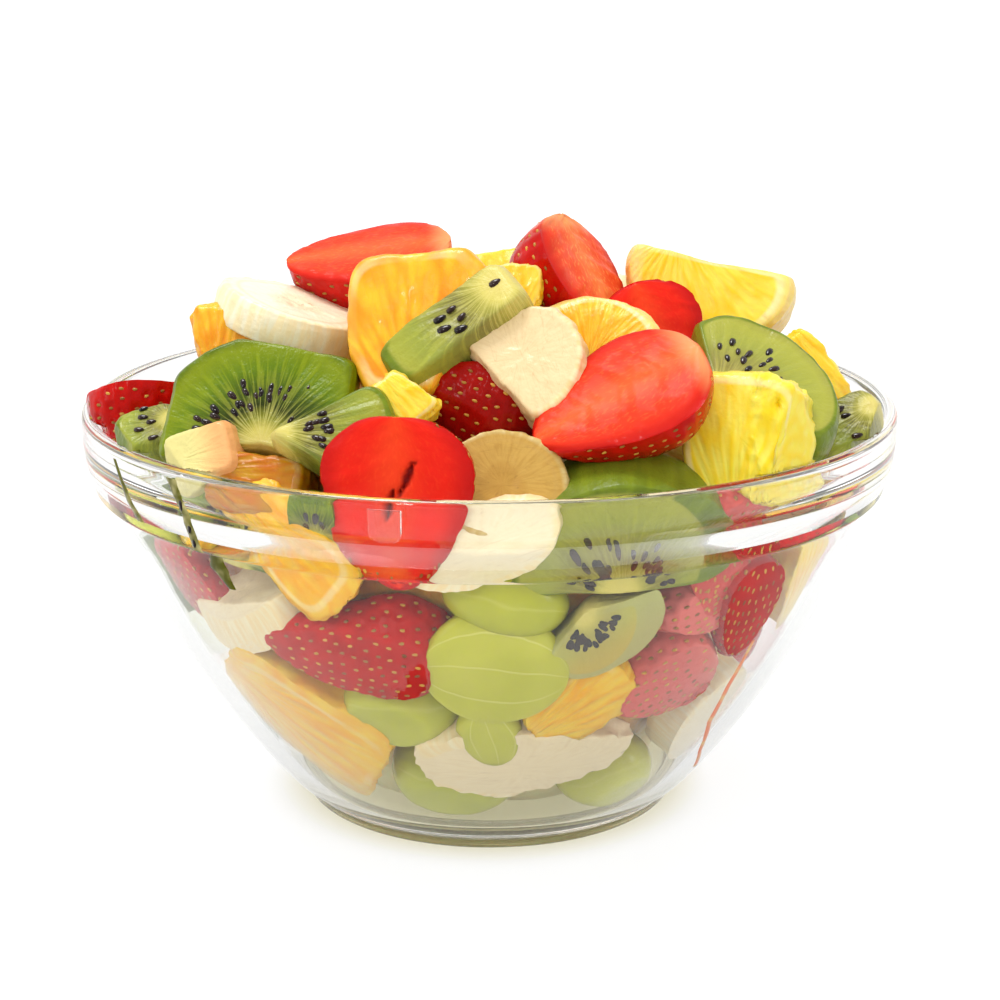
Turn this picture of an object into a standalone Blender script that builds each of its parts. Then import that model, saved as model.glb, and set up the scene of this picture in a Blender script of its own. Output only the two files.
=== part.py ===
"""A clear glass bowl heaped with fruit salad: cut strawberries, kiwi, banana, orange and grapes.

The bowl stands on its foot ring at Z = 0, with its axis on Z. Lengths in this file are in
millimetres until a mesh is written, and the front of the bowl faces -Y.
"""
import math
import random

import bmesh
import bpy
from mathutils import Matrix, Vector

# Driving dimensions
MM = 0.001
RIM_RADIUS = 90.0
BOWL_HEIGHT = 91.0
WALL = 3.2
FOOT_RADIUS = 42.5
FLOOR_Z = 7.0
RECESS_RADIUS = 36.0
RECESS_DEPTH = 1.2
# The thick band under the rim stands out from the curved wall below it
BAND_BOTTOM = 74.6
BAND_FOOT_RADIUS = 88.0
SHELF_Z = 76.0
# Ends and handles of the curve that the outside of the wall follows, as (radius, height)
WALL_CURVE = ((44.8, 4.2), (49.0, 5.5), (81.0, 48.0), (83.6, 73.8))
WALL_STEPS = 7
TURN_STEPS = 36
# Space kept between two pieces, and between the fruit and the glass
GAP = 0.35
GLASS_GAP = 0.5
# The fruit behind the pieces that show
CORE_INSET = 9.0
CORE_TOP = 108.0
CORE_SHOULDER = 76.0
CORE_SHOULDER_RADIUS = 71.0
CORE_STEPS = 16
CUTTER_TOP = 150.0
SEED = 7
# Share of the radius that the corners of a sector have lost
CORNER_WEAR = 0.13
# Softness of a chunk's corners: 1 is an egg, 0 a box
CHUNK_POWER = 0.55
# Corners closer than this are welded after a cut
WELD = 0.02

# Rings of fruit round the back: height, radius, how many, first and last angle in degrees
HEAP_RINGS = (
    (20, 49, 4, 8, 172), (38, 60, 5, 2, 178), (57, 70, 6, -4, 184), (75, 77, 7, -10, 190),
    (92, 61, 6, 10, 170), (103, 43, 5, 0, 180), (107, 21, 3, 30, 150),
)

# Sizes of the fruit, as the maker of each form reads them
HALF_BERRY = "half_berry"
SECTOR = "sector"
DISC = "disc"
CHUNK = "chunk"
GRAPE = "grape"
HALF_GRAPE = "half_grape"

COLOURS = {
    "glass": (0.92, 0.96, 0.94),
    "strawberry": (0.78, 0.03, 0.03),
    "kiwi": (0.36, 0.50, 0.08),
    "banana": (0.86, 0.76, 0.48),
    "orange": (0.95, 0.50, 0.05),
    "grape": (0.52, 0.60, 0.14),
    "mixed_fruit": (0.80, 0.55, 0.20),
}

# Every piece that shows from the front, the foremost first, so that each is cut round those
# before it. A row holds the name, the form, its sizes, the place of its origin, the way its cut
# face looks, and the way its long axis points: the stem end of a berry, the peel of a kiwi or
# orange sector.
#   half_berry and half_grape: length, width, depth behind the cut face
#   sector: radius, angle in degrees, thickness
#   disc and chunk: length, width, thickness
#   grape: length, width
PIECES = [
    ("strawberry_front", HALF_BERRY, (34, 30, 11), (-18, -82, 88), (-0.2, -1, 0.1), (0, 0, 1)),
    ("strawberry_right", HALF_BERRY, (38, 28, 12), (24, -65, 105), (-0.15, -0.8, 0.6), (0.95, 0.1, 0.35)),
    ("strawberry_top_left", HALF_BERRY, (36, 27, 12), (-26, -6, 123), (-0.2, -0.25, 0.95), (1, 0.05, 0.2)),
    ("strawberry_top", HALF_BERRY, (32, 28, 13), (19, -22, 123), (0.6, -0.4, 0.7), (-0.6, 0.4, 0.7)),
    ("kiwi_left", SECTOR, (23, 180, 9), (-45, -60, 93), (-0.1, -0.8, 0.6), (0.1, 0, 1)),
    ("kiwi_top", CHUNK, (31, 12, 11), (-8, -50, 116), (-0.3, -0.7, 0.65), (-0.8, -0.1, -0.7)),
    ("kiwi_beside_strawberry", SECTOR, (24, 70, 11), (-41, -67, 97), (-0.1, -0.75, 0.6), (1, 0, -0.15)),
    ("orange_right", CHUNK, (24, 24, 20), (52, -58, 95), (-0.3, -0.9, 0.3), (0, 0, 1)),
    ("kiwi_right", SECTOR, (25, 127, 10), (45, -50, 99), (0.1, -0.5, 0.86), (0.8, 0.5, 0.2)),
    ("orange_top", CHUNK, (32, 31, 22), (-15, -40, 113), (-0.2, -0.8, 0.5), (-0.1, 0.1, 1)),
    ("orange_flap", CHUNK, (30, 15, 10), (19, -50, 114), (-0.2, -0.7, 0.7), (1, 0, 0.2)),
    ("banana_middle", DISC, (27, 25, 10), (5, -61, 104), (-0.4, -0.75, 0.5), (-0.3, 0, 1)),
    ("banana_glass", DISC, (32, 15, 9), (-3, -80, 80), (0, -1, 0.1), (1, 0, 0.4)),
    ("banana_front", DISC, (26, 22, 9), (2, -74, 89), (0.1, -0.85, 0.5), (1, 0, 0)),
    ("kiwi_front", SECTOR, (24, 170, 18), (23, -70, 71), (0, -1, 0.1), (0, 0.1, 1)),
    ("strawberry_low_left", HALF_BERRY, (39, 23, 13), (-25, -61, 56), (0.1, 0.9, 0.4), (1, 0, 0.1)),
    ("grape_half", HALF_GRAPE, (29, 24, 11), (1, -72, 52), (0, -1, -0.4), (1, 0, -0.1)),
    ("strawberry_dark", HALF_BERRY, (27, 20, 12), (49, -53, 60), (-0.5, 0.8, 0.3), (0, 0.1, 1)),
    ("strawberry_low_right", HALF_BERRY, (29, 21, 13), (33, -51, 46), (-0.3, 0.8, 0.4), (0.9, 0, 0.4)),
    ("kiwi_glass", SECTOR, (15, 140, 9), (19, -72, 66), (-0.2, -1, -0.2), (0.5, 0, -0.85)),
    ("grape_low_half", HALF_GRAPE, (16, 13, 8), (0, -63, 35), (0, -1, -0.5), (0.2, 0, -1)),
    ("banana_low", DISC, (48, 21, 11), (6, -55, 30), (0, -0.8, -0.6), (1, 0, 0.05)),
    ("orange_low_left", CHUNK, (40, 28, 18), (-37, -46, 36), (-0.5, -0.7, -0.5), (0.7, -0.4, -0.7)),
    ("orange_glass_left", CHUNK, (28, 20, 10), (-38, -69, 77), (-0.5, -0.9, 0), (0.7, -0.3, -0.7)),
    ("banana_glass_left", DISC, (28, 14, 9), (-48, -54, 58), (-0.6, -0.7, -0.3), (0.9, -0.4, 0.35)),
    ("grape_left", GRAPE, (24, 19), (-17, -56, 41), (0, -1, 0), (1, 0, 0)),
    ("grape_low", GRAPE, (27, 20), (-7, -43, 21), (0, -1, 0), (1, 0, -0.1)),
    ("grape_behind_glass", GRAPE, (25, 16), (3, -70, 67), (0, -1, 0), (1, 0, -0.2)),
    ("grape_low_right", GRAPE, (26, 20), (24, -39, 20), (0, -1, 0), (1, 0, 0.5)),
    ("orange_centre_right", CHUNK, (22, 18, 12), (17, -60, 44), (0.2, -1, -0.3), (0.8, 0, 0.6)),
    ("orange_front_left", CHUNK, (18, 12, 12), (-45, -66, 91), (-0.2, -0.8, 0.5), (1, 0, -0.2)),
    ("kiwi_core", CHUNK, (13, 11, 11), (-57, -57, 92), (-0.3, -0.8, 0.5), (1, 0, 0)),
    ("kiwi_block", CHUNK, (10, 9, 8), (-33, -77, 84), (-0.3, -1, 0), (0, 0, 1)),
    ("kiwi_glass_left", SECTOR, (21, 180, 9), (-49, -62, 78), (-0.6, -0.8, 0.2), (0.1, 0, 1)),
    ("strawberry_left", HALF_BERRY, (30, 26, 14), (-72, -18, 95), (-0.1, 0.5, 0.85), (-1, 0, 0)),
    ("kiwi_rim_left", CHUNK, (13, 11, 9), (-69, -46, 92), (-0.2, -0.5, 0.8), (-1, 0, -0.2)),
    ("strawberry_centre", HALF_BERRY, (32, 25, 12), (-4, -50, 101), (0.2, 0.8, 0.5), (0.9, 0, -0.3)),
    ("orange_fringe", CHUNK, (12, 10, 8), (-17, -62, 103), (0, -0.8, 0.6), (0.6, 0, -0.8)),
    ("banana_top_left", DISC, (30, 27, 9), (-43, -25, 112), (0.1, -0.3, 0.95), (1, 0, -0.1)),
    ("orange_left", CHUNK, (15, 14, 12), (-55, -18, 108), (-0.2, -0.9, 0.3), (0, 0, 1)),
    ("orange_back_right", SECTOR, (19, 180, 14), (49, -5, 120), (-0.1, -0.85, 0.5), (-0.2, -0.1, -1)),
    ("strawberry_behind", HALF_BERRY, (25, 22, 10), (35, -27, 109), (0.1, -0.9, 0.4), (-0.3, 0, 1)),
    ("orange_behind", CHUNK, (12, 14, 10), (4, -33, 119), (0, -0.8, 0.6), (0, 0, 1)),
    ("orange_right_edge", CHUNK, (26, 12, 10), (69, -24, 97), (0.3, -0.8, 0.5), (0.4, 0, -1)),
    ("kiwi_rim_right", CHUNK, (16, 12, 9), (74, -36, 91), (-0.2, -0.6, 0.7), (-1, -0.3, -0.3)),
    ("banana_shaded", DISC, (18, 12, 8), (19, -63, 91), (0, -0.8, 0.6), (1, 0, 0)),
    ("strawberry_band_right", HALF_BERRY, (28, 21, 12), (45, -62, 77), (-0.5, 0.8, 0.1), (0.1, 0, 1)),
    ("strawberry_mid_right", HALF_BERRY, (26, 15, 12), (39, -57, 64), (-0.4, 0.8, 0.3), (1, 0, 0.2)),
    ("strawberry_glass_left", HALF_BERRY, (30, 16, 11), (-58, -44, 62), (0.7, 0.7, 0.2), (-0.6, 0.5, 0.5)),
    ("orange_band_right", CHUNK, (16, 12, 10), (75, -36, 78), (0.7, -0.6, 0), (0, 0, 1)),
    ("orange_glass_right", CHUNK, (22, 16, 12), (64, -37, 61), (0.7, -0.6, -0.2), (0, 0, 1)),
    ("banana_low_right", DISC, (26, 20, 9), (44, -36, 32), (0.7, -0.6, -0.5), (0, 0, 1)),
]


# ---------------------------------------------------------------------------------------------
# Profile of the bowl
# ---------------------------------------------------------------------------------------------

def bezier(points, t):
    """Point at t on the cubic curve through four (radius, height) pairs."""
    weights = ((1 - t) ** 3, 3 * t * (1 - t) ** 2, 3 * t * t * (1 - t), t ** 3)
    radius = sum(weight * point[0] for weight, point in zip(weights, points))
    height = sum(weight * point[1] for weight, point in zip(weights, points))
    return radius, height


def wall_line(offset):
    """Points up the curved wall, moved inwards along its normal by the offset."""
    line = []
    step = 0.01
    for index in range(WALL_STEPS + 1):
        t = index / WALL_STEPS
        radius, height = bezier(WALL_CURVE, t)
        ahead = bezier(WALL_CURVE, t + step)
        behind = bezier(WALL_CURVE, t - step)
        run = math.hypot(ahead[0] - behind[0], ahead[1] - behind[1])
        line.append((radius - offset * (ahead[1] - behind[1]) / run,
                     height + offset * (ahead[0] - behind[0]) / run))
    return line


def bowl_profile():
    """Closed outline of the glass, from the underside out, over the rim and down to the floor."""
    outside = [
        (0.0, RECESS_DEPTH), (RECESS_RADIUS, RECESS_DEPTH), (RECESS_RADIUS + 1.5, 0.0),
        (FOOT_RADIUS - 1.5, 0.0), (FOOT_RADIUS, 1.0), (FOOT_RADIUS + 0.7, 3.6),
    ]
    outside += wall_line(0.0)
    outside += [
        (BAND_FOOT_RADIUS - 1.4, BAND_BOTTOM - 0.5), (BAND_FOOT_RADIUS, BAND_BOTTOM + 0.4),
        (RIM_RADIUS - 1.0, BAND_BOTTOM + 3.4), (RIM_RADIUS, BOWL_HEIGHT - 6.0),
        (RIM_RADIUS, BOWL_HEIGHT - 1.6), (RIM_RADIUS - 0.6, BOWL_HEIGHT - 0.3),
        (RIM_RADIUS - 1.6, BOWL_HEIGHT), (RIM_RADIUS - 2.5, BOWL_HEIGHT - 0.5),
    ]
    return outside + inner_profile()


def inner_profile():
    """Inside of the glass, from the lip down to the middle of the floor."""
    wall = [point for point in wall_line(WALL) if point[1] > FLOOR_Z + 1.0]
    inside = [
        (RIM_RADIUS - 2.9, BOWL_HEIGHT - 2.2), (RIM_RADIUS - 3.4, SHELF_Z + 3.0),
        (RIM_RADIUS - 4.2, SHELF_Z + 0.6), (RIM_RADIUS - 6.0, SHELF_Z),
    ]
    inside += list(reversed(wall))
    inside += [(wall[0][0] - 4.5, FLOOR_Z), (0.0, FLOOR_Z)]
    return inside


def inside_radius(height):
    """Radius of the inside of the glass at a height."""
    line = sorted((point for point in inner_profile() if point[0] > 0.0), key=lambda point: point[1])
    if height <= line[0][1]:
        return line[0][0]
    for low, high in zip(line, line[1:]):
        if height <= high[1]:
            share = (height - low[1]) / max(high[1] - low[1], 1e-6)
            return low[0] + (high[0] - low[0]) * share
    return RIM_RADIUS - 1.5


# ---------------------------------------------------------------------------------------------
# Mesh helpers
# ---------------------------------------------------------------------------------------------

def loft(rings):
    """Closed bmesh through rings of points. A ring of one point is a pole."""
    shape = bmesh.new()
    rows = [[shape.verts.new(point) for point in ring] for ring in rings]
    for lower, upper in zip(rows, rows[1:]):
        count = max(len(lower), len(upper))
        for index in range(count):
            after = (index + 1) % count
            corners = []
            for row, order in ((lower, (index, after)), (upper, (after, index))):
                corners += [row[0]] if len(row) == 1 else [row[i] for i in order]
            shape.faces.new(corners)
    for row in (rows[0], rows[-1]):
        if len(row) > 1:
            shape.faces.new(row)
    bmesh.ops.recalc_face_normals(shape, faces=shape.faces)
    if shape.calc_volume(signed=True) < 0:
        bmesh.ops.reverse_faces(shape, faces=shape.faces)
    return shape


def turned(profile, steps):
    """Solid of revolution about Z from an outline whose two ends lie on the axis."""
    rings = []
    for radius, height in profile:
        if radius == 0.0:
            rings.append([(0.0, 0.0, height)])
            continue
        angles = [math.tau * index / steps for index in range(steps)]
        rings.append([(radius * math.cos(a), radius * math.sin(a), height) for a in angles])
    return loft(rings)


def in_metres(shape, name):
    """Mesh from a bmesh in millimetres."""
    shape.transform(Matrix.Scale(MM, 4))
    mesh = bpy.data.meshes.new(name)
    shape.to_mesh(mesh)
    shape.free()
    mesh.shade_smooth()
    mesh.set_sharp_from_angle(angle=math.radians(40))
    return mesh


# ---------------------------------------------------------------------------------------------
# Forms of the fruit, each about its own origin, with the cut face looking along +Z
# ---------------------------------------------------------------------------------------------

def half_fruit(length, width, depth, fullness, steps=6, around=7):
    """Half of a fruit cut along its length: fullness gives its width along the axis, 0 to 1."""
    rings = [[(0.0, length / 2, 0.0)]]
    for index in range(1, steps):
        share = (1 - math.cos(math.pi * index / steps)) / 2
        full = fullness(share)
        place = length * (0.5 - share)
        ring = []
        for turn in range(around + 1):
            angle = math.pi * turn / around
            ring.append((width / 2 * full * math.cos(angle), place, -depth * full * math.sin(angle)))
        rings.append(ring)
    rings.append([(0.0, -length / 2, 0.0)])
    return loft(rings)


def berry_fullness(share):
    """Broad shoulders near the stem end and a narrowing tip."""
    return math.sin(math.pi * share ** 0.65) ** 0.7


def grape_fullness(share):
    return math.sqrt(max(0.0, 1 - (2 * share - 1) ** 2))


def make_half_berry(length, width, depth):
    return half_fruit(length, width, depth, berry_fullness)


def make_half_grape(length, width, depth):
    return half_fruit(length, width, depth, grape_fullness)


def make_grape(length, width):
    """Whole grape, long along Y."""
    rings = [[(0.0, length / 2, 0.0)]]
    for index in range(1, 6):
        share = (1 - math.cos(math.pi * index / 6)) / 2
        radius = width / 2 * grape_fullness(share)
        angles = [math.tau * turn / 9 for turn in range(9)]
        rings.append([(radius * math.cos(a), length * (0.5 - share), radius * math.sin(a)) for a in angles])
    rings.append([(0.0, -length / 2, 0.0)])
    return loft(rings)


def make_sector(radius, sweep, thickness):
    """Slice of a round fruit, or a wedge of one, its middle at the origin and its peel at +Y."""
    bevel = min(2.0, 0.2 * thickness)
    steps = max(4, round(sweep / 20))
    rings = []
    for height, inset in ((-thickness / 2, bevel), (-thickness / 2 + bevel, 0.0),
                          (thickness / 2 - bevel, 0.0), (thickness / 2, bevel)):
        lift = inset / math.sin(math.radians(min(sweep, 180) / 2))
        ring = [(0.0, lift, height)]
        for index in range(steps + 1):
            angle = math.radians(90 - sweep / 2 + sweep * index / steps)
            corner = abs(2 * index / steps - 1) ** 6
            reach = (radius - inset - lift) * (1 - CORNER_WEAR * corner)
            ring.append((reach * math.cos(angle), lift + reach * math.sin(angle), height))
        rings.append(ring)
    return loft(rings)


def make_disc(length, width, thickness):
    """Slice of banana, long along Y, with a worn edge."""
    bevel = 0.18 * thickness
    rings = []
    for height, inset in ((-thickness / 2, bevel), (-thickness / 2 + bevel, 0.0),
                          (thickness / 2 - bevel, 0.0), (thickness / 2, bevel)):
        ring = []
        for index in range(12):
            angle = math.tau * index / 12
            ring.append(((width / 2 - inset) * math.cos(angle), (length / 2 - inset) * math.sin(angle), height))
        rings.append(ring)
    return loft(rings)


def rounded(value, power):
    """Power of a value that keeps its sign."""
    return math.copysign(abs(value) ** power, value)


def make_chunk(length, width, thickness, layers=5, around=8):
    """Cut chunk with soft corners, long along Y."""
    rings = [[(0.0, 0.0, -thickness / 2)]]
    for index in range(1, layers):
        slope = math.pi * (index / layers - 0.5)
        across = rounded(math.cos(slope), CHUNK_POWER)
        height = thickness / 2 * rounded(math.sin(slope), CHUNK_POWER)
        ring = []
        for turn in range(around):
            angle = math.tau * (turn + 0.5) / around
            ring.append((width / 2 * across * rounded(math.cos(angle), CHUNK_POWER),
                         length / 2 * across * rounded(math.sin(angle), CHUNK_POWER), height))
        rings.append(ring)
    rings.append([(0.0, 0.0, thickness / 2)])
    return loft(rings)


MAKERS = {
    HALF_BERRY: make_half_berry,
    SECTOR: make_sector,
    DISC: make_disc,
    CHUNK: make_chunk,
    GRAPE: make_grape,
    HALF_GRAPE: make_half_grape,
}


def stance(place, face, axis):
    """Matrix that stands a form at a place, its +Z along face and its +Y towards axis."""
    out = Vector(face).normalized()
    along = Vector(axis)
    along = (along - out * along.dot(out)).normalized()
    side = along.cross(out)
    turn = Matrix((side, along, out)).transposed().to_4x4()
    return Matrix.Translation(Vector(place)) @ turn


def grow(shape, distance):
    """Move every face of a shape outwards."""
    shape.normal_update()
    moves = [vert.normal * distance * min(vert.calc_shell_factor(), 2.0) for vert in shape.verts]
    for vert, move in zip(shape.verts, moves):
        vert.co += move


# ---------------------------------------------------------------------------------------------
# Cutting and joining
# ---------------------------------------------------------------------------------------------

def box_of(shape):
    low = [min(vert.co[axis] for vert in shape.verts) for axis in range(3)]
    high = [max(vert.co[axis] for vert in shape.verts) for axis in range(3)]
    return low, high


def boxes_meet(first, second):
    return all(first[0][axis] < second[1][axis] and second[0][axis] < first[1][axis] for axis in range(3))


def add_object(name, mesh, colour=None):
    """Object in the scene, with a material of its own when a colour is named."""
    obj = bpy.data.objects.new(name, mesh)
    bpy.context.scene.collection.objects.link(obj)
    if colour:
        obj.data.materials.clear()
        obj.data.materials.append(make_material(name, colour))
    return obj


def remove_object(obj):
    mesh = obj.data
    bpy.data.objects.remove(obj)
    bpy.data.meshes.remove(mesh)


def boolean(obj, others, operation):
    """Cut or join the others into the object, and leave a plain mesh."""
    for other in others:
        step = obj.modifiers.new(operation.lower(), "BOOLEAN")
        step.operation = operation
        step.solver = "EXACT"
        step.object = other
    evaluated = obj.evaluated_get(bpy.context.evaluated_depsgraph_get())
    mesh = bpy.data.meshes.new_from_object(evaluated)
    obj.modifiers.clear()
    old = obj.data
    obj.data = mesh
    bpy.data.meshes.remove(old)


def keep_largest(obj):
    """Drop the slivers that a cut leaves beside the main body, and weld its slit corners."""
    shape = bmesh.new()
    shape.from_mesh(obj.data)
    bmesh.ops.remove_doubles(shape, verts=shape.verts, dist=WELD * MM)
    bmesh.ops.dissolve_degenerate(shape, edges=shape.edges, dist=WELD * MM)
    bmesh.ops.triangulate(shape, faces=shape.faces)
    unseen = set(shape.verts)
    bodies = []
    while unseen:
        body = set()
        stack = [unseen.pop()]
        while stack:
            vert = stack.pop()
            body.add(vert)
            for edge in vert.link_edges:
                other = edge.other_vert(vert)
                if other in unseen:
                    unseen.discard(other)
                    stack.append(other)
        bodies.append(body)
    bodies.sort(key=len, reverse=True)
    spare = [vert for body in bodies[1:] for vert in body]
    bmesh.ops.delete(shape, geom=spare, context="VERTS")
    shape.to_mesh(obj.data)
    shape.free()


# ---------------------------------------------------------------------------------------------
# Materials
# ---------------------------------------------------------------------------------------------

def make_material(name, colour):
    material = bpy.data.materials.new(name + "_material")
    material.use_nodes = True
    shader = material.node_tree.nodes["Principled BSDF"]
    shader.inputs["Base Color"].default_value = (*COLOURS[colour], 1.0)
    shader.inputs["Metallic"].default_value = 0.0
    shader.inputs["Roughness"].default_value = 0.05 if colour == "glass" else 0.35
    if colour == "glass":
        shader.inputs["Transmission Weight"].default_value = 1.0
        shader.inputs["IOR"].default_value = 1.5
    return material


# ---------------------------------------------------------------------------------------------
# The model
# ---------------------------------------------------------------------------------------------

def build_bowl():
    add_object("bowl", in_metres(turned(bowl_profile(), TURN_STEPS), "bowl"), "glass")


def placed(form, sizes, place, face, axis):
    shape = MAKERS[form](*sizes)
    shape.transform(stance(place, face, axis))
    return shape


def glass_cutter():
    """Everything that the fruit must stay out of: the glass with a gap, and all outside it."""
    profile = [(0.0, FLOOR_Z + GLASS_GAP), (inside_radius(FLOOR_Z) - GLASS_GAP, FLOOR_Z + GLASS_GAP)]
    for height in (14.0, 26.0, 42.0, 60.0, SHELF_Z - 2.0):
        profile.append((inside_radius(height) - GLASS_GAP, height))
    profile += [
        (RIM_RADIUS - 6.3, SHELF_Z + GLASS_GAP), (RIM_RADIUS - 4.7, SHELF_Z + 1.2),
        (RIM_RADIUS - 4.0, SHELF_Z + 3.0), (RIM_RADIUS - 3.5, BOWL_HEIGHT - 2.0),
        (RIM_RADIUS - 2.8, BOWL_HEIGHT + GLASS_GAP), (RIM_RADIUS - 1.2, BOWL_HEIGHT + GLASS_GAP),
        (RIM_RADIUS - 1.2, CUTTER_TOP), (2 * RIM_RADIUS, CUTTER_TOP),
        (2 * RIM_RADIUS, -FLOOR_Z), (0.0, -FLOOR_Z),
    ]
    return add_object("glass_cutter", in_metres(turned(profile, TURN_STEPS), "glass_cutter"))


def reaches_glass(shape):
    """Whether any corner comes within the gap that is kept to the glass."""
    for vert in shape.verts:
        reach = math.hypot(vert.co.x, vert.co.y)
        if reach > inside_radius(vert.co.z) - 2 * GLASS_GAP or vert.co.z < FLOOR_Z + 2 * GLASS_GAP:
            return True
    return False


def build_pieces(glass):
    """Make the fruit that shows. Returns the cutters, with their boxes, for the heap behind."""
    cutters = []
    for name, form, sizes, place, face, axis in PIECES:
        shape = placed(form, sizes, place, face, axis)
        box = box_of(shape)
        tools = [cutter for cutter, cutter_box in cutters if boxes_meet(box, cutter_box)]
        if reaches_glass(shape):
            tools.append(glass)
        obj = add_object(name, in_metres(shape, name), name.split("_")[0])
        if tools:
            boolean(obj, tools, "DIFFERENCE")
        keep_largest(obj)
        wider = placed(form, sizes, place, face, axis)
        grow(wider, GAP)
        wider_box = box_of(wider)
        cutters.append((add_object(name + "_cutter", in_metres(wider, name + "_cutter")), wider_box))
    return cutters


def core_profile():
    """Middle of the heap: the bowl's inside drawn in, with a low dome above the shoulder."""
    base = FLOOR_Z + GLASS_GAP
    profile = [(0.0, base)]
    for height in (base + 2, 18, 33, 48, 62):
        profile.append((inside_radius(height) - CORE_INSET, height))
    for share in (0.0, 0.35, 0.7):
        angle = share * math.pi / 2
        height = CORE_SHOULDER + (CORE_TOP - CORE_SHOULDER) * math.sin(angle)
        profile.append((CORE_SHOULDER_RADIUS * math.cos(angle), height))
    profile.append((0.0, CORE_TOP))
    return profile


def heap_pieces():
    """Places of the fruit round the back and sides, in rings up the glass and over the top."""
    chooser = random.Random(SEED)
    rows = []
    for height, radius, count, first, last in HEAP_RINGS:
        for index in range(count):
            angle = math.radians(first + (last - first) * index / (count - 1) + chooser.uniform(-4, 4))
            rise = chooser.uniform(-0.4, 0.2) if height < BOWL_HEIGHT else 1.2
            outward = (math.cos(angle), math.sin(angle), rise)
            axis = (-math.sin(angle), math.cos(angle), chooser.uniform(-0.7, 0.7))
            sizes = (chooser.uniform(25, 32), chooser.uniform(18, 24), chooser.uniform(10, 13))
            place = (radius * math.cos(angle), radius * math.sin(angle), height + chooser.uniform(-2, 2))
            rows.append((sizes, stance(place, outward, axis)))
    return rows


def build_heap(cutters, glass):
    """One solid out to the uneven outline of the fruit behind the pieces that show."""
    heap = add_object("fruit_heap", in_metres(turned(core_profile(), CORE_STEPS), "fruit_heap"), "mixed_fruit")
    lumps = []
    for index, (sizes, matrix) in enumerate(heap_pieces()):
        shape = make_chunk(*sizes, layers=3, around=8)
        shape.transform(matrix)
        lumps.append(add_object(f"lump_{index}", in_metres(shape, f"lump_{index}")))
    boolean(heap, lumps, "UNION")
    boolean(heap, [glass] + [cutter for cutter, _ in cutters], "DIFFERENCE")
    keep_largest(heap)
    for lump in lumps:
        remove_object(lump)


def main():
    for obj in list(bpy.data.objects):
        bpy.data.objects.remove(obj)
    build_bowl()
    glass = glass_cutter()
    cutters = build_pieces(glass)
    build_heap(cutters, glass)
    for cutter in [glass] + [cutter for cutter, _ in cutters]:
        remove_object(cutter)


main()
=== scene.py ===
"""Looks of the glass bowl of fruit salad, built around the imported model.

Lengths are in millimetres until a mesh is written. The bowl stands on Z = 0 with its axis on Z,
and its front faces -Y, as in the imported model.
"""

import functools
import itertools
import math
import random

import bmesh
import bpy
import numpy as np
from mathutils import Matrix, Vector


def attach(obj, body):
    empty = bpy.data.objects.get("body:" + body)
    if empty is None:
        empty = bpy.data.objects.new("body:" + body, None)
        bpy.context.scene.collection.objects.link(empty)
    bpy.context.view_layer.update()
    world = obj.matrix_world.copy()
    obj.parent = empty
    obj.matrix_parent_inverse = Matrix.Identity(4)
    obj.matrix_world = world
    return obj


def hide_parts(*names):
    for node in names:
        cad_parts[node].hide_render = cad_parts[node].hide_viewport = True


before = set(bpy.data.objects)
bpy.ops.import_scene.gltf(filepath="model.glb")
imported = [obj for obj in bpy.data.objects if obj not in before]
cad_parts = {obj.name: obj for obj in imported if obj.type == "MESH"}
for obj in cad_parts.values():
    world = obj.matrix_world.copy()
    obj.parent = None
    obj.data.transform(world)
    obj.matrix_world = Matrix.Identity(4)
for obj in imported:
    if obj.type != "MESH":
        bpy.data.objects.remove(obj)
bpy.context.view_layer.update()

MM = 0.001
ROOT = "root"
SEED = 7

# The bowl's sizes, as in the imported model
RIM_RADIUS = 90.0
BOWL_HEIGHT = 91.0
WALL = 3.2
FOOT_RADIUS = 42.5
FLOOR_Z = 7.0
RECESS_RADIUS = 36.0
RECESS_DEPTH = 1.2
BAND_BOTTOM = 74.6
BAND_FOOT_RADIUS = 88.0
LIP = 1.5
LIP_INSIDE = RIM_RADIUS - 3.0
# Ends and handles of the curve that the outside of the wall follows, as (radius, height)
WALL_CURVE = ((44.8, 4.2), (49.0, 5.5), (81.0, 48.0), (83.6, 73.8))
WALL_STEPS = 30
# Heights between which the inside widens from the wall to the band
BAND_FLARE = (69.5, 87.5)
TURN_STEPS = 200

# The raised pad on the band: where it starts and ends, in degrees, and its lower and upper height
LUG_ANGLES = (-104.7, -100.5)
LUG_HEIGHTS = (84.6, 89.0)
LUG_STEPS = 25

# How far the runs of juice stand off the glass, and how far the pool reaches into it
DRIP_LIFT = 0.3
JUICE_OVERLAP = 0.08

# The core of the heap: a dome on a cone that keeps its distance from the glass
CORE_INSET = 10.0
CORE_TOP = 106.0
CORE_CONE_TOP = 68.0
CORE_SHOULDER = 76.0
CORE_SHOULDER_RADIUS = 71.0

# Rings of fruit round the back: height, radius, how many, first and last angle in degrees
HEAP_RINGS = (
    (20, 49, 4, 8, 172), (38, 60, 5, 2, 178), (57, 70, 6, -4, 184), (75, 77, 7, -10, 190),
    (92, 61, 6, 10, 170), (103, 43, 5, 0, 180), (107, 21, 3, 30, 150),
)
# Rings of smaller fruit between them
FILL_RINGS = (
    (13, 43, 5, 14, 166), (29, 52, 7, 4, 176), (48, 63, 8, 0, 180), (66, 70, 9, -5, 185),
    (84, 67, 9, -2, 182), (98, 49, 7, 10, 170), (103, 32, 4, 25, 155),
)

# Forms of the fruit
HALF = "half"
WHOLE = "whole"
SECTOR = "sector"
DISC = "disc"
CHUNK = "chunk"
# Share of the radius that the corners of a sector have lost
CORNER_WEAR = 0.13
# Where the juice sacs of an orange chunk point away from, beyond its end
ORANGE_MIDDLE = 6.0
KIWI_SEED_RADII = (0.62, 1.12, 0.42)
BERRY_SEED_RADII = (0.36, 0.62, 0.28)
DRIP_SEED_RADII = (0.6, 1.2, 0.3)

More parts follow.
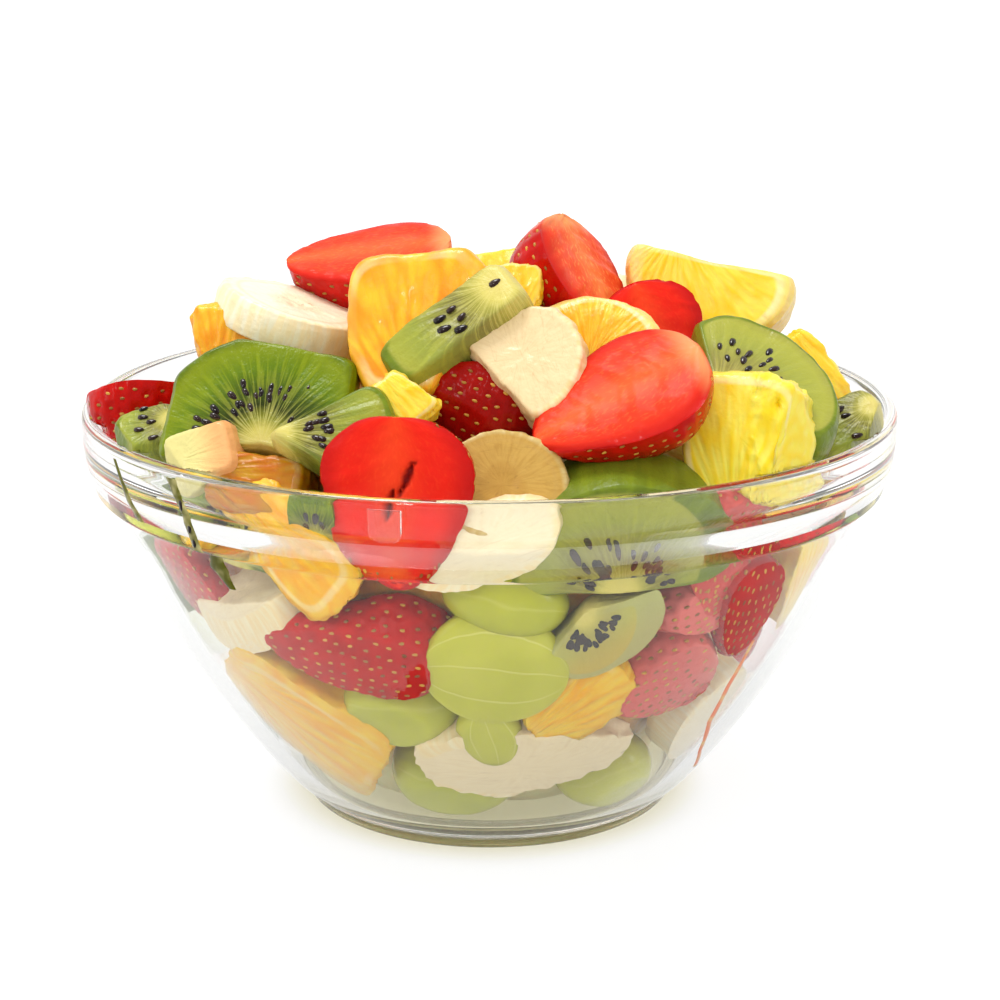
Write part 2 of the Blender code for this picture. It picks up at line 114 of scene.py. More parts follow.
# Where the camera stands, in metres, how far it looks down, in degrees, and its lens
CAMERA_PLACE = (0.0, -0.4906, 0.2024)
CAMERA_TILT = 15.47
LENS = 80.9
SENSOR = 36.0
LENS_SHIFT = 0.0105

# Name, form, sizes, place, way the cut face looks and way the long axis points, as in the packed
# model, and then the tone: 0 is the deepest colour of that fruit and 1 the palest, and below 0
# the colour is darkened as painted shade
PIECES = [
    ("strawberry_front", HALF, (34, 30, 11), (-18, -82, 88), (-0.2, -1, 0.1), (0, 0, 1), 0.08),
    ("strawberry_right", HALF, (36, 27, 17), (24.5, -68.5, 107), (-0.3, -0.62, 0.82),
     (0.85, 0.1, 0.6), 0.45),
    ("strawberry_top_left", HALF, (35.5, 28, 19), (-26, -12, 125.5), (-0.12, -0.3, 0.93), (1, 0, 0.1), 0.5),
    ("strawberry_top", HALF, (35, 35, 17), (23, -22, 119.6), (0.8, -0.28, 0.55), (-0.5, 0.4, 0.75), 1.0),
    # Tone below 0: painted shade.
    ("kiwi_left", SECTOR, (24, 200, 8), (-44.4, -59, 93), (-0.1, -0.8, 0.6), (0.05, 0, 1), -0.1),
    ("kiwi_top", CHUNK, (30, 11, 11), (-6.5, -50, 114.5), (-0.3, -0.7, 0.65), (-0.8, -0.1, -0.7), 0.5),
    ("kiwi_beside_strawberry", SECTOR, (23, 64, 10), (-41, -67.6, 97), (-0.1, -0.75, 0.6),
     (1, 0, -0.1), 0.35),
    ("orange_right", CHUNK, (24, 25, 20), (51.5, -58, 95), (-0.3, -0.9, 0.3), (0, 0, 1), 1.0),
    ("kiwi_right", SECTOR, (25, 127, 10), (45, -50, 99), (0.1, -0.5, 0.86), (0.8, 0.5, 0.2), 0.6),
    ("orange_top", CHUNK, (30, 30, 22), (-12.5, -41, 112), (-0.2, -0.8, 0.5), (-0.1, 0.1, 1), 0.1),
    ("orange_flap", SECTOR, (15.5, 180, 8), (20.5, -47, 106.3), (-0.2, -0.75, 0.65), (0.1, 0, 1), 0.3),
    ("banana_middle", DISC, (26, 25, 11), (7, -55, 108.5), (-0.2, -0.75, 0.6), (-0.35, 0, 1), 0.45),
    ("banana_glass", DISC, (32, 15, 9), (-1.5, -78.6, 80), (0, -1, 0.1), (1, 0, 0.4), 0.8),
    # Tone below 0: painted shade.
    ("banana_front", DISC, (26, 22, 9), (2, -74, 89), (0.1, -0.85, 0.5), (1, 0, 0), -0.2),
    ("kiwi_front", SECTOR, (23.5, 180, 18), (25.5, -67, 71), (0, -1, -0.25), (0, 0.1, 1), 0.6),
    ("strawberry_low_left", HALF, (39, 23, 13), (-25, -61, 56), (0.1, 0.9, 0.4), (1, 0, 0.1), 0.1),
    ("grape_half", HALF, (29, 27, 11), (1, -72, 52), (0, -1, -0.3), (1, 0, -0.1), 0.75),
    ("strawberry_dark", HALF, (24, 17, 12), (49.5, -53, 60.5), (-0.5, 0.8, 0.3), (0, 0.1, 1), 0.0),
    ("strawberry_low_right", HALF, (29, 21, 13), (31, -53, 47), (-0.2, 0.8, 0.4), (0.9, 0, 0.4), 0.3),
    ("kiwi_glass", SECTOR, (15, 140, 9), (19, -72, 66), (-0.2, -1, -0.2), (0.5, 0, -0.85), 0.9),
    ("grape_low_half", HALF, (16, 13, 8), (0, -63, 35), (0, -1, -0.5), (0.2, 0, -1), 0.7),
    ("banana_low", DISC, (48, 21, 11), (7, -56, 30), (0, -0.8, -0.6), (1, 0, 0.05), 0.65),
    ("orange_low_left", CHUNK, (40, 28, 18), (-37, -46, 36), (-0.5, -0.7, -0.5), (0.7, -0.4, -0.7), 0.4),
    ("orange_glass_left", CHUNK, (28, 20, 10), (-38, -69, 77), (-0.5, -0.9, 0), (0.7, -0.3, -0.7), 0.3),
    ("banana_glass_left", DISC, (30, 20, 9), (-47, -54, 59.5), (-0.45, -0.2, 0.75), (0.85, -0.3, 0.5), 0.7),
    ("grape_left", WHOLE, (24, 19), (-17, -56, 41), (0, -1, 0), (1, 0, 0), 0.4),
    ("grape_low", WHOLE, (27, 20), (-7, -43, 21), (0, -1, 0), (1, 0, -0.1), 0.3),
    ("grape_behind_glass", WHOLE, (25, 16), (3, -70, 67), (0, -1, 0), (1, 0, -0.2), 0.3),
    ("grape_low_right", WHOLE, (22, 16), (24, -36, 18), (0, -1, 0), (1, 0, 0.3), 0.7),
    ("orange_centre_right", CHUNK, (22, 18, 12), (17, -60, 44), (0.2, -1, -0.3), (0.8, 0, 0.6), 0.4),
    # Tone below 0: painted shade.
    ("orange_front_left", CHUNK, (18, 12, 12), (-44, -64, 86.5), (-0.2, -0.8, 0.5), (1, 0, -0.2), -0.45),
    ("kiwi_core", CHUNK, (14, 11, 11), (-55.5, -60.5, 91.5), (-0.3, -0.8, 0.5), (1, 0, 0.3), 0.6),
    ("kiwi_block", CHUNK, (10, 9, 8), (-33, -77, 84), (-0.3, -1, 0), (0, 0, 1), 0.1),
    ("kiwi_glass_left", SECTOR, (19, 180, 9), (-49, -60, 71), (-0.6, -0.8, 0.2), (0.1, 0, 1), 0.2),
    ("strawberry_left", HALF, (30, 26, 14), (-72, -18, 95), (-0.1, 0.5, 0.85), (-1, 0, 0), 0.1),
    ("kiwi_rim_left", CHUNK, (13, 11, 9), (-69, -46, 92), (-0.2, -0.5, 0.8), (-1, 0, -0.2), 0.4),
    # Tone below 0: painted shade.
    ("strawberry_centre", HALF, (34, 27, 12), (-4, -48.5, 100.5), (0.2, 0.8, 0.5), (0.9, 0, -0.3), -0.4),
    ("orange_fringe", CHUNK, (12, 10, 8), (-17, -62, 103), (0, -0.8, 0.6), (0.6, 0, -0.8), 0.7),
    ("banana_top_left", DISC, (31, 28, 7.6), (-41.5, -27, 113.4), (0.3, -0.03, 0.94), (1, 0, -0.15), 1.0),
    ("orange_left", CHUNK, (15, 15, 11), (-53.5, -31, 109), (-0.2, -0.9, 0.3), (0, 0, 1), 0.15),
    ("orange_back_right", SECTOR, (19, 180, 14), (49, -5, 120), (-0.1, -0.85, 0.5), (-0.2, -0.1, -1), 0.8),
    ("strawberry_behind", HALF, (25, 22, 10), (35, -27, 109), (0.1, -0.9, 0.4), (-0.3, 0, 1), 0.1),
    ("orange_behind", CHUNK, (12, 14, 10), (4, -33, 119), (0, -0.8, 0.6), (0, 0, 1), 0.5),
    ("orange_right_edge", CHUNK, (26, 12, 10), (69, -24, 97), (0.3, -0.8, 0.5), (0.4, 0, -1), 0.6),
    ("kiwi_rim_right", CHUNK, (16, 12, 9), (74, -36, 91), (-0.2, -0.6, 0.7), (-1, -0.3, -0.3), 0.4),
    ("banana_shaded", DISC, (18, 12, 8), (19, -63, 91), (0, -0.8, 0.6), (1, 0, 0), 0.4),
    ("strawberry_band_right", HALF, (28, 21, 12), (45, -62, 73.5), (-0.5, 0.8, 0.1), (0.1, 0, 1), 0.2),
    ("strawberry_mid_right", HALF, (26, 15, 12), (39, -57, 64), (-0.4, 0.8, 0.3), (1, 0, 0.2), 0.3),
    ("strawberry_glass_left", HALF, (30, 16, 11), (-58, -44, 62), (0.7, 0.7, 0.2), (-0.6, 0.5, 0.5), 0.1),
    ("orange_band_right", CHUNK, (16, 12, 10), (75, -36, 78), (0.7, -0.6, 0), (0, 0, 1), 0.5),
    ("orange_glass_right", CHUNK, (22, 16, 12), (64, -37, 61), (0.7, -0.6, -0.2), (0, 0, 1), 0.6),
    ("banana_low_right", DISC, (26, 20, 9), (44, -36, 32), (0.7, -0.6, -0.5), (0, 0, 1), 0.8),
]

# What single pieces have of their own.
# cuts: flat cuts across the outline, as (way x, way y, distance from the middle)
# slits: (end, end, half width, depth) in the cut face of a strawberry
# tip: how pointed a strawberry is; power: how square the corners of a kiwi block are
# seeds, seed_size: places and size of a kiwi's seeds; reach: shares of the radius they lie between
# relief, ragged: depth of an orange's juice sacs, everywhere and at its right; centre: where they point from
# wear: depth of a banana's worn rim; wet: (x, y, z, size) of the places that touch the glass
# trait: on a strawberry, paler skin as painted light and darker flesh as painted shade, also set in
# # its slits; pale round an orange, banana without its middle, pale core of a kiwi
EXTRAS = {
    "strawberry_front": {
        "tip": 0.75,
        "slits": (((3.6, 8.5), (1.0, 2.5), 0.55, 1.3), ((-0.4, 3.2), (-1.0, -2.6), 0.6, 1.4)),
    },
    "strawberry_right": {"tip": 0.75},
    "strawberry_top_left": {"tip": 0.6},
    "kiwi_left": {"cuts": ((1, 0.05, 16.2), (0.1, 1, 21.5), (-1, 0, 20)), "reach": (0.3, 0.6)},
    "kiwi_top": {
        "power": 0.25, "seed_size": 1.2,
        "seeds": ((-3.4, -1.0), (-1.0, 1.6), (1.6, 1.0), (-1.2, -2.6), (1.8, -2.0), (0.6, -12.0)),
    },
    "kiwi_core": {"power": 0.3, "seeds": (), "trait": 1},
    "kiwi_beside_strawberry": {"cuts": ((0.4, 1, 20.5),)},
    "kiwi_right": {"reach": (0.42, 0.72)},
    "banana_middle": {"cuts": ((-0.9, -0.37, 6.0), (0.3, 1, 11.0)), "trait": 0.8, "wear": 0.5},
    "banana_front": {"trait": 0.3},
    "banana_low_right": {"trait": 1},
    "banana_glass_left": {"trait": 0.6},
    "orange_top": {
        "relief": 0.3, "cuts": ((0.75, 0.7, 17.5), (-1, -0.5, 15.0), (1, -0.6, 10.5)), "trait": 0.1,
    },
    "orange_back_right": {"relief": 0.2, "centre": (9.0, -5.0, 0.0), "trait": 0.5},
    "orange_flap": {"relief": 0.35, "trait": 0.4},
    "orange_centre_right": {"ragged": 1.0},
    "banana_glass": {"trait": 1},
    "orange_right": {"relief": 0.3, "ragged": 1.8, "trait": 0.2},
    "orange_glass_left": {"trait": 0.15},
    "orange_front_left": {"relief": 0.4},
    "kiwi_glass": {"trait": 0.25},
    "strawberry_low_left": {"wet": ((-12.5, -69.0, 51.0, 7.5), (-33.0, -60.0, 60.0, 4.0))},
    # Trait on these strawberries: painted light that pales the skin, and painted shade that darkens the
    # flesh.
    "strawberry_low_right": {"wet": ((42.0, -48.0, 41.0, 6.0),), "trait": 0.45},
    "strawberry_mid_right": {"trait": 0.55},
    "strawberry_band_right": {"trait": 0.25},
    "strawberry_dark": {"wet": ((52.0, -52.0, 60.0, 22.0),)},
    "banana_low": {
        "cuts": ((1, 0.3, 9.5), (-1, 0.35, 8.5), (0.4, 1, 20.5), (0.2, -1, 20.5)), "trait": 1, "wear": 1.2,
    },
}


# ---- Random but repeatable unevenness ----

def unit(cells, seed):
    """Random number from 0 to 1 for each whole-number point."""
    x, y, z = (cells[..., axis].astype(np.int64) for axis in range(3))
    mixed = x * 73856093 ^ y * 19349663 ^ z * 83492791 ^ np.int64(seed * 26544357)
    mixed = (mixed ^ (mixed >> 13)) * 1274126177 & 0x7FFFFFFF
    return ((mixed ^ (mixed >> 15)) & 0xFFFF) / 65535.0


def noise(points, size, seed):
    """Smooth random value from -1 to 1 at each point, changing over the size."""
    scaled = np.asarray(points, float) / size
    cell = np.floor(scaled)
    part = scaled - cell
    part = part * part * (3 - 2 * part)
    total = 0.0
    for corner in itertools.product((0, 1), repeat=3):
        weight = np.prod(np.where(corner, part, 1 - part), axis=-1)
        total = total + weight * unit(cell + np.array(corner), seed)
    return 2 * total - 1


def layered(points, size, seed):
    """Sum of noise at halving sizes and strengths."""
    return sum(noise(points, size / 2 ** step, seed + 17 * step) / 2 ** step for step in range(3))


def smooth(value, low, high):
    """0 below low, 1 above high, and an even curve between."""
    share = np.clip((value - low) / (high - low), 0.0, 1.0)
    return share * share * (3 - 2 * share)


# ---- Profile of the glass ----

def bezier(points, t):
    weights = ((1 - t) ** 3, 3 * t * (1 - t) ** 2, 3 * t * t * (1 - t), t ** 3)
    return tuple(sum(weight * point[axis] for weight, point in zip(weights, points)) for axis in (0, 1))


def wall_line(offset):
    """Points up the curved wall, moved inwards along its normal by the offset."""
    line = []
    step = 0.01
    for index in range(WALL_STEPS + 1):
        t = index / WALL_STEPS
        radius, height = bezier(WALL_CURVE, t)
        ahead = bezier(WALL_CURVE, t + step)
        behind = bezier(WALL_CURVE, t - step)
        run = math.hypot(ahead[0] - behind[0], ahead[1] - behind[1])
        line.append((radius - offset * (ahead[1] - behind[1]) / run,
                     height + offset * (ahead[0] - behind[0]) / run))
    return line


def arc(centre, radius, first, last, steps):
    """Points of an arc in the (radius, height) plane, from the first to the last angle in degrees."""
    angles = [math.radians(first + (last - first) * index / steps) for index in range(steps + 1)]
    return [(centre[0] + radius * math.cos(a), centre[1] + radius * math.sin(a)) for a in angles]


def outer_profile():
    """Outside of the glass, from the middle of the underside up to the lip."""
    edge = 1.2
    line = [(0.0, RECESS_DEPTH), (RECESS_RADIUS - 1.0, RECESS_DEPTH), (RECESS_RADIUS, RECESS_DEPTH - 0.1),
            (RECESS_RADIUS + 1.5, 0.0), (FOOT_RADIUS - 1.5, 0.0)]
    line += arc((FOOT_RADIUS - edge, edge), edge, -70, 0, 5)
    line += [(FOOT_RADIUS + 0.2, 2.6), (FOOT_RADIUS + 0.9, 3.7)]
    line += wall_line(0.0)
    line += [(BAND_FOOT_RADIUS - 2.4, BAND_BOTTOM - 0.7), (BAND_FOOT_RADIUS - 1.2, BAND_BOTTOM - 0.5)]
    line += arc((BAND_FOOT_RADIUS - edge, BAND_BOTTOM + 0.7), edge, -70, 0, 5)
    line += [(BAND_FOOT_RADIUS + 0.7, BAND_BOTTOM + 3.2), (RIM_RADIUS - 0.4, BAND_BOTTOM + 6.0),
             (RIM_RADIUS, BOWL_HEIGHT - 6.0)]
    line += arc((RIM_RADIUS - LIP, BOWL_HEIGHT - LIP), LIP, 0, 160, 10)
    return line


def inner_profile():
    """Inside of the glass, from the lip down to the middle of the floor."""
    wall = [point for point in wall_line(WALL) if FLOOR_Z + 1.0 < point[1] < BAND_FLARE[0]]
    reach = RIM_RADIUS - 3.3
    line = [(LIP_INSIDE, BOWL_HEIGHT - 2.6)]
    for height in np.linspace(BAND_FLARE[1], BAND_FLARE[0], 14):
        share = float(smooth(height, *BAND_FLARE))
        line.append((wall[-1][0] + (reach - wall[-1][0]) * share, float(height)))
    line += reversed(wall[:-1])
    line += arc((wall[0][0] - 4.5, FLOOR_Z + 3.0), 3.0, -30, -90, 5)
    line += [(0.0, FLOOR_Z)]
    return line


INSIDE = np.array(sorted((point for point in inner_profile() if point[0] > 0.0), key=lambda point: point[1]))
OUTSIDE = np.array(sorted(outer_profile()[8:-8], key=lambda point: point[1]))


def inside_radius(height):
    """Radius of the inside of the glass at a height."""
    return np.interp(height, INSIDE[:, 1], INSIDE[:, 0], right=LIP_INSIDE)


def outside_radius(height):
    return np.interp(height, OUTSIDE[:, 1], OUTSIDE[:, 0])


# ---- Solids as arrays ----

def columns(*parts):
    """Rows made of columns, each an array or one number for all rows."""
    return np.stack(np.broadcast_arrays(*parts), axis=1)


def circle(radius, angles, height):
    return columns(radius * np.cos(angles), radius * np.sin(angles), height)


def placed(points, matrix):
    return points @ np.array(matrix.to_3x3()).T + np.array(matrix.translation)


class Solid:
    """Points in millimetres, faces with their material slots, and what the materials read at each point.

    local is the point's place in its own fruit, form is what its maker says of its place on the skin,
    tone is how pale it is, or below 0 how far painted shade darkens it, press is how far into the
    glass it may reach and trait is the look's own, which on a strawberry is painted light and shade.
    """
    FIELDS = ("points", "local", "form", "tone", "press", "trait")

    def __init__(self, points=(), faces=(), form=None, slot=0, local=None, tone=0.0, press=0.0):
        self.points = np.array(points, float).reshape(-1, 3)
        count = len(self.points)
        self.local = np.array(self.points if local is None else local)
        self.form = np.zeros((count, 3)) if form is None else form
        self.tone = np.full(count, float(tone))
        self.press = np.full(count, press)
        self.trait = np.zeros(count)
        self.faces = list(faces)
        self.slots = [slot] * len(self.faces)

    def join(self, other):
        start = len(self.points)
        for field in self.FIELDS:
            setattr(self, field, np.concatenate((getattr(self, field), getattr(other, field))))
        self.faces += [tuple(start + corner for corner in face) for face in other.faces]
        self.slots += other.slots

    def move(self, matrix):
        self.points = placed(self.points, matrix)


def ring_faces(counts):
    """Faces between rings that follow each other, where a ring of one point is a pole."""
    faces = []
    start = 0
    for low, high in zip(counts, counts[1:]):
        top = start + low
        if low == 1:
            faces += [(start, top + (i + 1) % high, top + i) for i in range(high)]
        elif high == 1:
            faces += [(start + i, start + (i + 1) % low, top) for i in range(low)]
        else:
            faces += [(start + i, start + (i + 1) % low, top + (i + 1) % low, top + i) for i in range(low)]
        start = top
    return faces


def closed_skin(rings):
    """Points and faces of a closed skin through rings, its faces turned to look out of it."""
    points = np.vstack(rings)
    faces = ring_faces([len(ring) for ring in rings])
    corners = np.array([face[:3] for face in faces])
    a, b, c = (points[corners[:, k]] - points.mean(0) for k in range(3))
    volume = np.einsum("ij,ij->i", a, np.cross(b, c)).sum()
    return points, [face[::-1] for face in faces] if volume < 0 else faces


def raised(points, faces, height):
    """The points of a skin moved out along its normals."""
    mesh = bpy.data.meshes.new("skin")
    mesh.from_pydata(points.tolist(), [], faces)
    mesh.update()
    normals = np.zeros(points.size)
    mesh.vertex_normals.foreach_get("vector", normals)
    bpy.data.meshes.remove(mesh)
    return points + normals.reshape(-1, 3) * height[:, None]


def turned(profile, steps=TURN_STEPS):
    """Points and faces of a solid of revolution about Z, from an outline whose two ends lie on the axis."""
    angles = np.linspace(0, math.tau, steps, endpoint=False)
    return closed_skin([circle(radius, angles, height) if radius else [(0.0, 0.0, height)]
                        for radius, height in profile])


def stance(place, face, axis):
    """Matrix that stands a form at a place, its +Z along face and its +Y towards axis."""
    out = Vector(face).normalized()
    along = Vector(axis)
    along = (along - out * along.dot(out)).normalized()
    turn = Matrix((along.cross(out), along, out)).transposed().to_4x4()
    return Matrix.Translation(Vector(place)) @ turn


# ---- Forms of the fruit, each about its own origin, with the cut face looking along +Z ----

def even_shares(steps):
    """Shares of a length, closer together towards its ends."""
    return [(1 - math.cos(math.pi * index / steps)) / 2 for index in range(1, steps)]


def berry_fullness(share, tip=1.0):
    """Half width of a strawberry from its stem end at 0 to its tip at 1, sharper with a larger tip."""
    return np.sin(np.pi * np.clip(share, 0, 1) ** 0.65) ** (0.7 * (1 + (tip - 1) * share))


def grape_fullness(share):
    return np.sqrt(np.maximum(0.0, 1 - (2 * share - 1) ** 2))


def half_skin(length, width, depth, fullness, edge, crown, steps, skin_steps, face_steps):
    """Skin of a fruit cut along its length. Its form is: across, along, and 1 on the skin, 0 on the cut."""
    skin = np.linspace(0, np.pi, skin_steps)
    across = np.linspace(-1, 1, face_steps + 2)[1:-1]
    on_skin = np.arange(skin_steps + face_steps) < skin_steps
    rings = [[(0.0, length / 2, -edge / 3)]]
    forms = [[(0.0, 0.0, 1.0)]]
    for share in even_shares(steps):
        full = float(fullness(share))
        half = width / 2 * full
        rim = min(edge, 0.4 * half)
        lift = -rim * np.abs(across) ** 7 + crown * full * (1 - across ** 2)
        x = np.concatenate((half * np.cos(skin), half * across))
        z = np.concatenate((-rim - (depth * full - rim) * np.sin(skin), lift))
        rings.append(columns(x, length * (0.5 - share), z))
        forms.append(columns(np.concatenate((np.cos(skin), across)), share, on_skin))
    rings.append([(0.0, -length / 2, -edge / 3)])
    forms.append([(0.0, 1.0, 1.0)])
    return *closed_skin(rings), np.vstack(forms)


def small_seed(radii, matrix, rings=4, around=7):
    """Points and faces of a small pointed egg, its length along its own +Y."""
    angles = np.linspace(0, math.tau, around, endpoint=False)
    rows = [[(0.0, radii[1], 0.0)]]
    for index in range(1, rings):
        share = index / rings
        full = math.sin(math.pi * share ** 0.8)
        rows.append(columns(radii[0] * full * np.cos(angles), radii[1] * math.cos(math.pi * share),
                            radii[2] * full * np.sin(angles)))
    rows.append([(0.0, -radii[1], 0.0)])
    points, faces = closed_skin(rows)
    return placed(points, matrix), faces


def groove(points, slits):
    """How deep each point lies in the slits of a cut face."""
    deep = np.zeros(len(points))
    for first, last, half, depth in slits:
        a = np.array(first)
        run = np.array(last) - a
        share = np.clip(((points[:, :2] - a) @ run) / (run @ run), 0, 1)
        away = np.linalg.norm(points[:, :2] - a - share[:, None] * run, axis=1)
        taper = 0.35 + 0.65 * np.sin(np.pi * np.clip(share, 0.02, 0.98))
        wander = 0.25 * noise(points, 1.5, 5)
        deep = np.maximum(deep, depth * (1 - smooth(away + wander, 0.0, 2.2 * half * taper)))
    return deep


def berry_lumps(points, seed):
    return 0.8 * noise(points, 13, seed) + 0.35 * noise(points, 6, seed + 1)


def berry_spots(length, width, depth, edge, fullness, chooser):
    """Places of the seeds in rows over the skin of half a strawberry."""
    rows = max(5, round(length / 2.7))
    spots = []
    for row in range(rows):
        share = (row + 0.6) / (rows + 0.3)
        girth = math.pi * (width / 2 + depth) / 2 * float(fullness(share))
        count = max(2, round(girth / 2.9))
        for index in range(count):
            angle = math.pi * (index + 0.25 + 0.5 * (row % 2)) / count + chooser.uniform(-0.05, 0.05)
            along = share + chooser.uniform(-0.012, 0.012)
            if not 0.05 < angle < math.pi - 0.05:
                continue
            full = float(fullness(along))
            spots.append((width / 2 * full * math.cos(angle), length * (0.5 - along),
                          -edge - (depth * full - edge) * math.sin(angle)))
    return np.array(spots)


def make_half_berry(length, width, depth, tone, seed, fine, extras):
    """Half a strawberry with its seeds in dimples on the skin, and fibres in the cut face."""
    edge = 1.0
    crown = 0.5 - 0.3 * tone
    fullness = functools.partial(berry_fullness, tip=extras.get("tip", 1.0))
    steps = (72, 46, 40) if fine else (34, 26, 16)
    points, faces, form = half_skin(length, width, depth, fullness, edge, crown, *steps)
    across, along, skin = form.T

    chooser = random.Random(seed)
    spots = berry_spots(length, width, depth, edge, fullness, chooser)
    parts = np.array_split(points, len(points) // 4000 + 1)
    nearest = np.concatenate([np.linalg.norm(part[:, None] - spots, axis=2).min(1) for part in parts])
    dimples = -0.45 * np.exp(-(nearest / 0.8) ** 2) + 0.12 * np.exp(-((nearest - 1.4) / 0.5) ** 2)
    lanes = columns(along * length - 6 * np.abs(across), 5 * np.sign(across), 0.12 * points[:, 0])
    fibres = (0.10 + 0.22 * tone) * noise(lanes, 1.3, seed + 2) + 0.08 * noise(points, 1.1, seed + 3)
    cut = smooth(1 - np.abs(across), 0.0, 0.12) * (1 - skin)
    lumps = berry_lumps(points, seed) * (0.28 + 0.72 * skin)
    shaped = raised(points, faces, lumps + skin * dimples + cut * fibres)
    sunk = (1 - skin) * groove(points, extras.get("slits", ()))
    shaped[:, 2] -= sunk
    solid = Solid(shaped, faces, form, 0, points, tone)

    detail = (4, 7) if fine else (3, 6)
    for spot, lump in zip(spots, berry_lumps(spots, seed)):
        x, y, z = spot
        out = Vector((x / (width / 2) ** 2, 0.35 * y / (length / 2) ** 2, z / depth ** 2)).normalized()
        matrix = stance(Vector(spot) + out * (lump - 0.34), out, (0, 1, 0))
        matrix = matrix @ Matrix.Rotation(chooser.uniform(-0.3, 0.3), 4, "Z")
        seed_skin = small_seed(BERRY_SEED_RADII, matrix, *detail)
        solid.join(Solid(*seed_skin, slot=1, tone=chooser.random(), press=0.06))
    # Painted shade in the slits: the trait darkens the cut face where it is sunk.
    solid.trait[:len(sunk)] = np.minimum(sunk, 1.0)
    return solid


def make_half_grape(length, width, depth, tone, seed, fine, extras):
    """Half a grape, with fine raised lines from end to end in its cut face."""
    points, faces, form = half_skin(length, width, depth, grape_fullness, 1.6, 1.2, 60, 40, 34)
    lines = 1 - smooth(np.abs(((form[:, 0] * 1.6 + 0.5) % 1.0) - 0.5), 0.0, 0.08)
    moved = 0.5 * noise(points, 11, seed) + 0.05 * lines * (1 - form[:, 2])
    return Solid(raised(points, faces, moved), faces, form, 0, points, tone)


def make_grape(length, width, tone, seed, fine, extras):
    """Whole grape, long along Y."""
    steps, around = (40, 44) if fine else (24, 28)
    angles = np.linspace(0, math.tau, around, endpoint=False)
    rings = [[(0.0, length / 2, 0.0)]]
    forms = [[(0.0, 0.0, 1.0)]]
    for share in even_shares(steps):
        radius = width / 2 * float(grape_fullness(share))
        rings.append(columns(radius * np.cos(angles), length * (0.5 - share), radius * np.sin(angles)))
        forms.append(columns(angles / math.pi, share, 1.0))
    rings.append([(0.0, -length / 2, 0.0)])
    forms.append([(0.0, 1.0, 1.0)])
    points, faces = closed_skin(rings)
    shaped = raised(points, faces, 0.45 * noise(points, 10, seed))
    return Solid(shaped, faces, np.vstack(forms), 0, points, tone)


def evened(loop, flags, count, softness, cuts=()):
    """Closed loop of evenly spaced points, cut flat and with soft corners, and its flags the same way."""
    for way_x, way_y, distance in cuts:
        way = np.array((way_x, way_y)) / math.hypot(way_x, way_y)
        over = np.maximum(0.0, loop @ way - distance)
        loop = loop - over[:, None] * way
        flags = np.where(over > 0, 0.0, flags)
    steps = np.linalg.norm(np.roll(loop, -1, 0) - loop, axis=1)
    run = np.concatenate(((0.0,), np.cumsum(steps)))
    stops = np.linspace(0, run[-1], count, endpoint=False)
    closed = np.vstack((loop, loop[:1]))
    even = columns(*(np.interp(stops, run, closed[:, axis]) for axis in (0, 1)))
    marks = np.interp(stops, run, np.append(flags, flags[0]))
    for _ in range(int((softness / (run[-1] / count)) ** 2) + 1):
        even = 0.5 * even + 0.25 * (np.roll(even, 1, 0) + np.roll(even, -1, 0))
    return even, marks


def slab(outline, peel, thickness, edge, face_rings, wall_rings, swell, taper=0.0):
    """Skin of a thick slice. Its form is: 0 to 1 from its middle to its edge, place round it, and peel."""
    count = len(outline)
    middle = outline.mean(0)
    spread = float(np.linalg.norm(outline - middle, axis=1).mean())
    inset = edge / spread
    drop = 2 * edge / thickness
    around = np.linspace(0, 1, count, endpoint=False)
    inner = [(1 - inset) * index / face_rings for index in range(1, face_rings)]
    corner = [(1 - inset * (1 - math.sin(a)), -1 + drop * (1 - math.cos(a)), 0.5)
              for a in np.radians((0, 25, 50, 70, 90))]
    profile = [(scale, -1.0, 0.0) for scale in inner[1::3]] + corner
    profile += [(1.0, (1 - drop) * (2 * index / wall_rings - 1), 1.0) for index in range(1, wall_rings)]
    profile += [(scale, -lift, wall) for scale, lift, wall in reversed(corner)]
    profile += [(scale, 1.0, 0.0) for scale in reversed(inner)]
    rings = [[(*middle, -thickness / 2)]]
    forms = [[(0.0, 0.0, 0.0)]]
    for scale, lift, wall in profile:
        bulge = swell * math.sqrt(max(0.0, 1 - lift * lift)) if wall == 1.0 else 0.0
        shrink = 1 - taper * (1 - lift) / 2
        flat = middle + (outline - middle) * (scale * shrink * (1 + bulge / spread))
        rings.append(columns(*flat.T, lift * thickness / 2))
        forms.append(columns(min(scale, 1.0), around, peel * (wall > 0)))
    rings.append([(*middle, thickness / 2)])
    forms.append([(0.0, 0.0, 0.0)])
    return *closed_skin(rings), np.vstack(forms)


def sector_loop(radius, sweep):
    """Outline of a wedge with worn corners, and 1 along its round side."""
    share = np.linspace(-1, 1, 61)
    angles = np.radians(90 + sweep / 2 * share)
    reach = radius * (1 - CORNER_WEAR * np.abs(share) ** 6)
    loop = np.vstack(((0.0, 0.0), columns(reach * np.cos(angles), reach * np.sin(angles))))
    return loop, np.append(0.0, np.ones(61))


def chunk_loop(length, width, power=0.42):
    """Outline of a block, with squarer corners for a smaller power, and 0 all along it."""
    angles = math.tau * (np.arange(80) + 0.5) / 80
    x, y = (np.sign(way) * np.abs(way) ** power for way in (np.cos(angles), np.sin(angles)))
    return columns(width / 2 * x, length / 2 * y), np.zeros(80)


def kiwi_seed(place, height, face, turn, chooser, grown=1.0):
    """One black seed, half sunk in a cut face."""
    lean = Matrix.Rotation(turn + chooser.uniform(-0.3, 0.3), 4, "Z")
    matrix = Matrix.Translation((place[0], place[1], height - 0.12 * face)) @ lean
    size = chooser.uniform(0.85, 1.2)
    radii = np.array(KIWI_SEED_RADII) * (size * grown ** 1.5, size * grown, grown)
    return Solid(*small_seed(radii, matrix, 5, 8), slot=1, tone=chooser.random(), press=0.05)


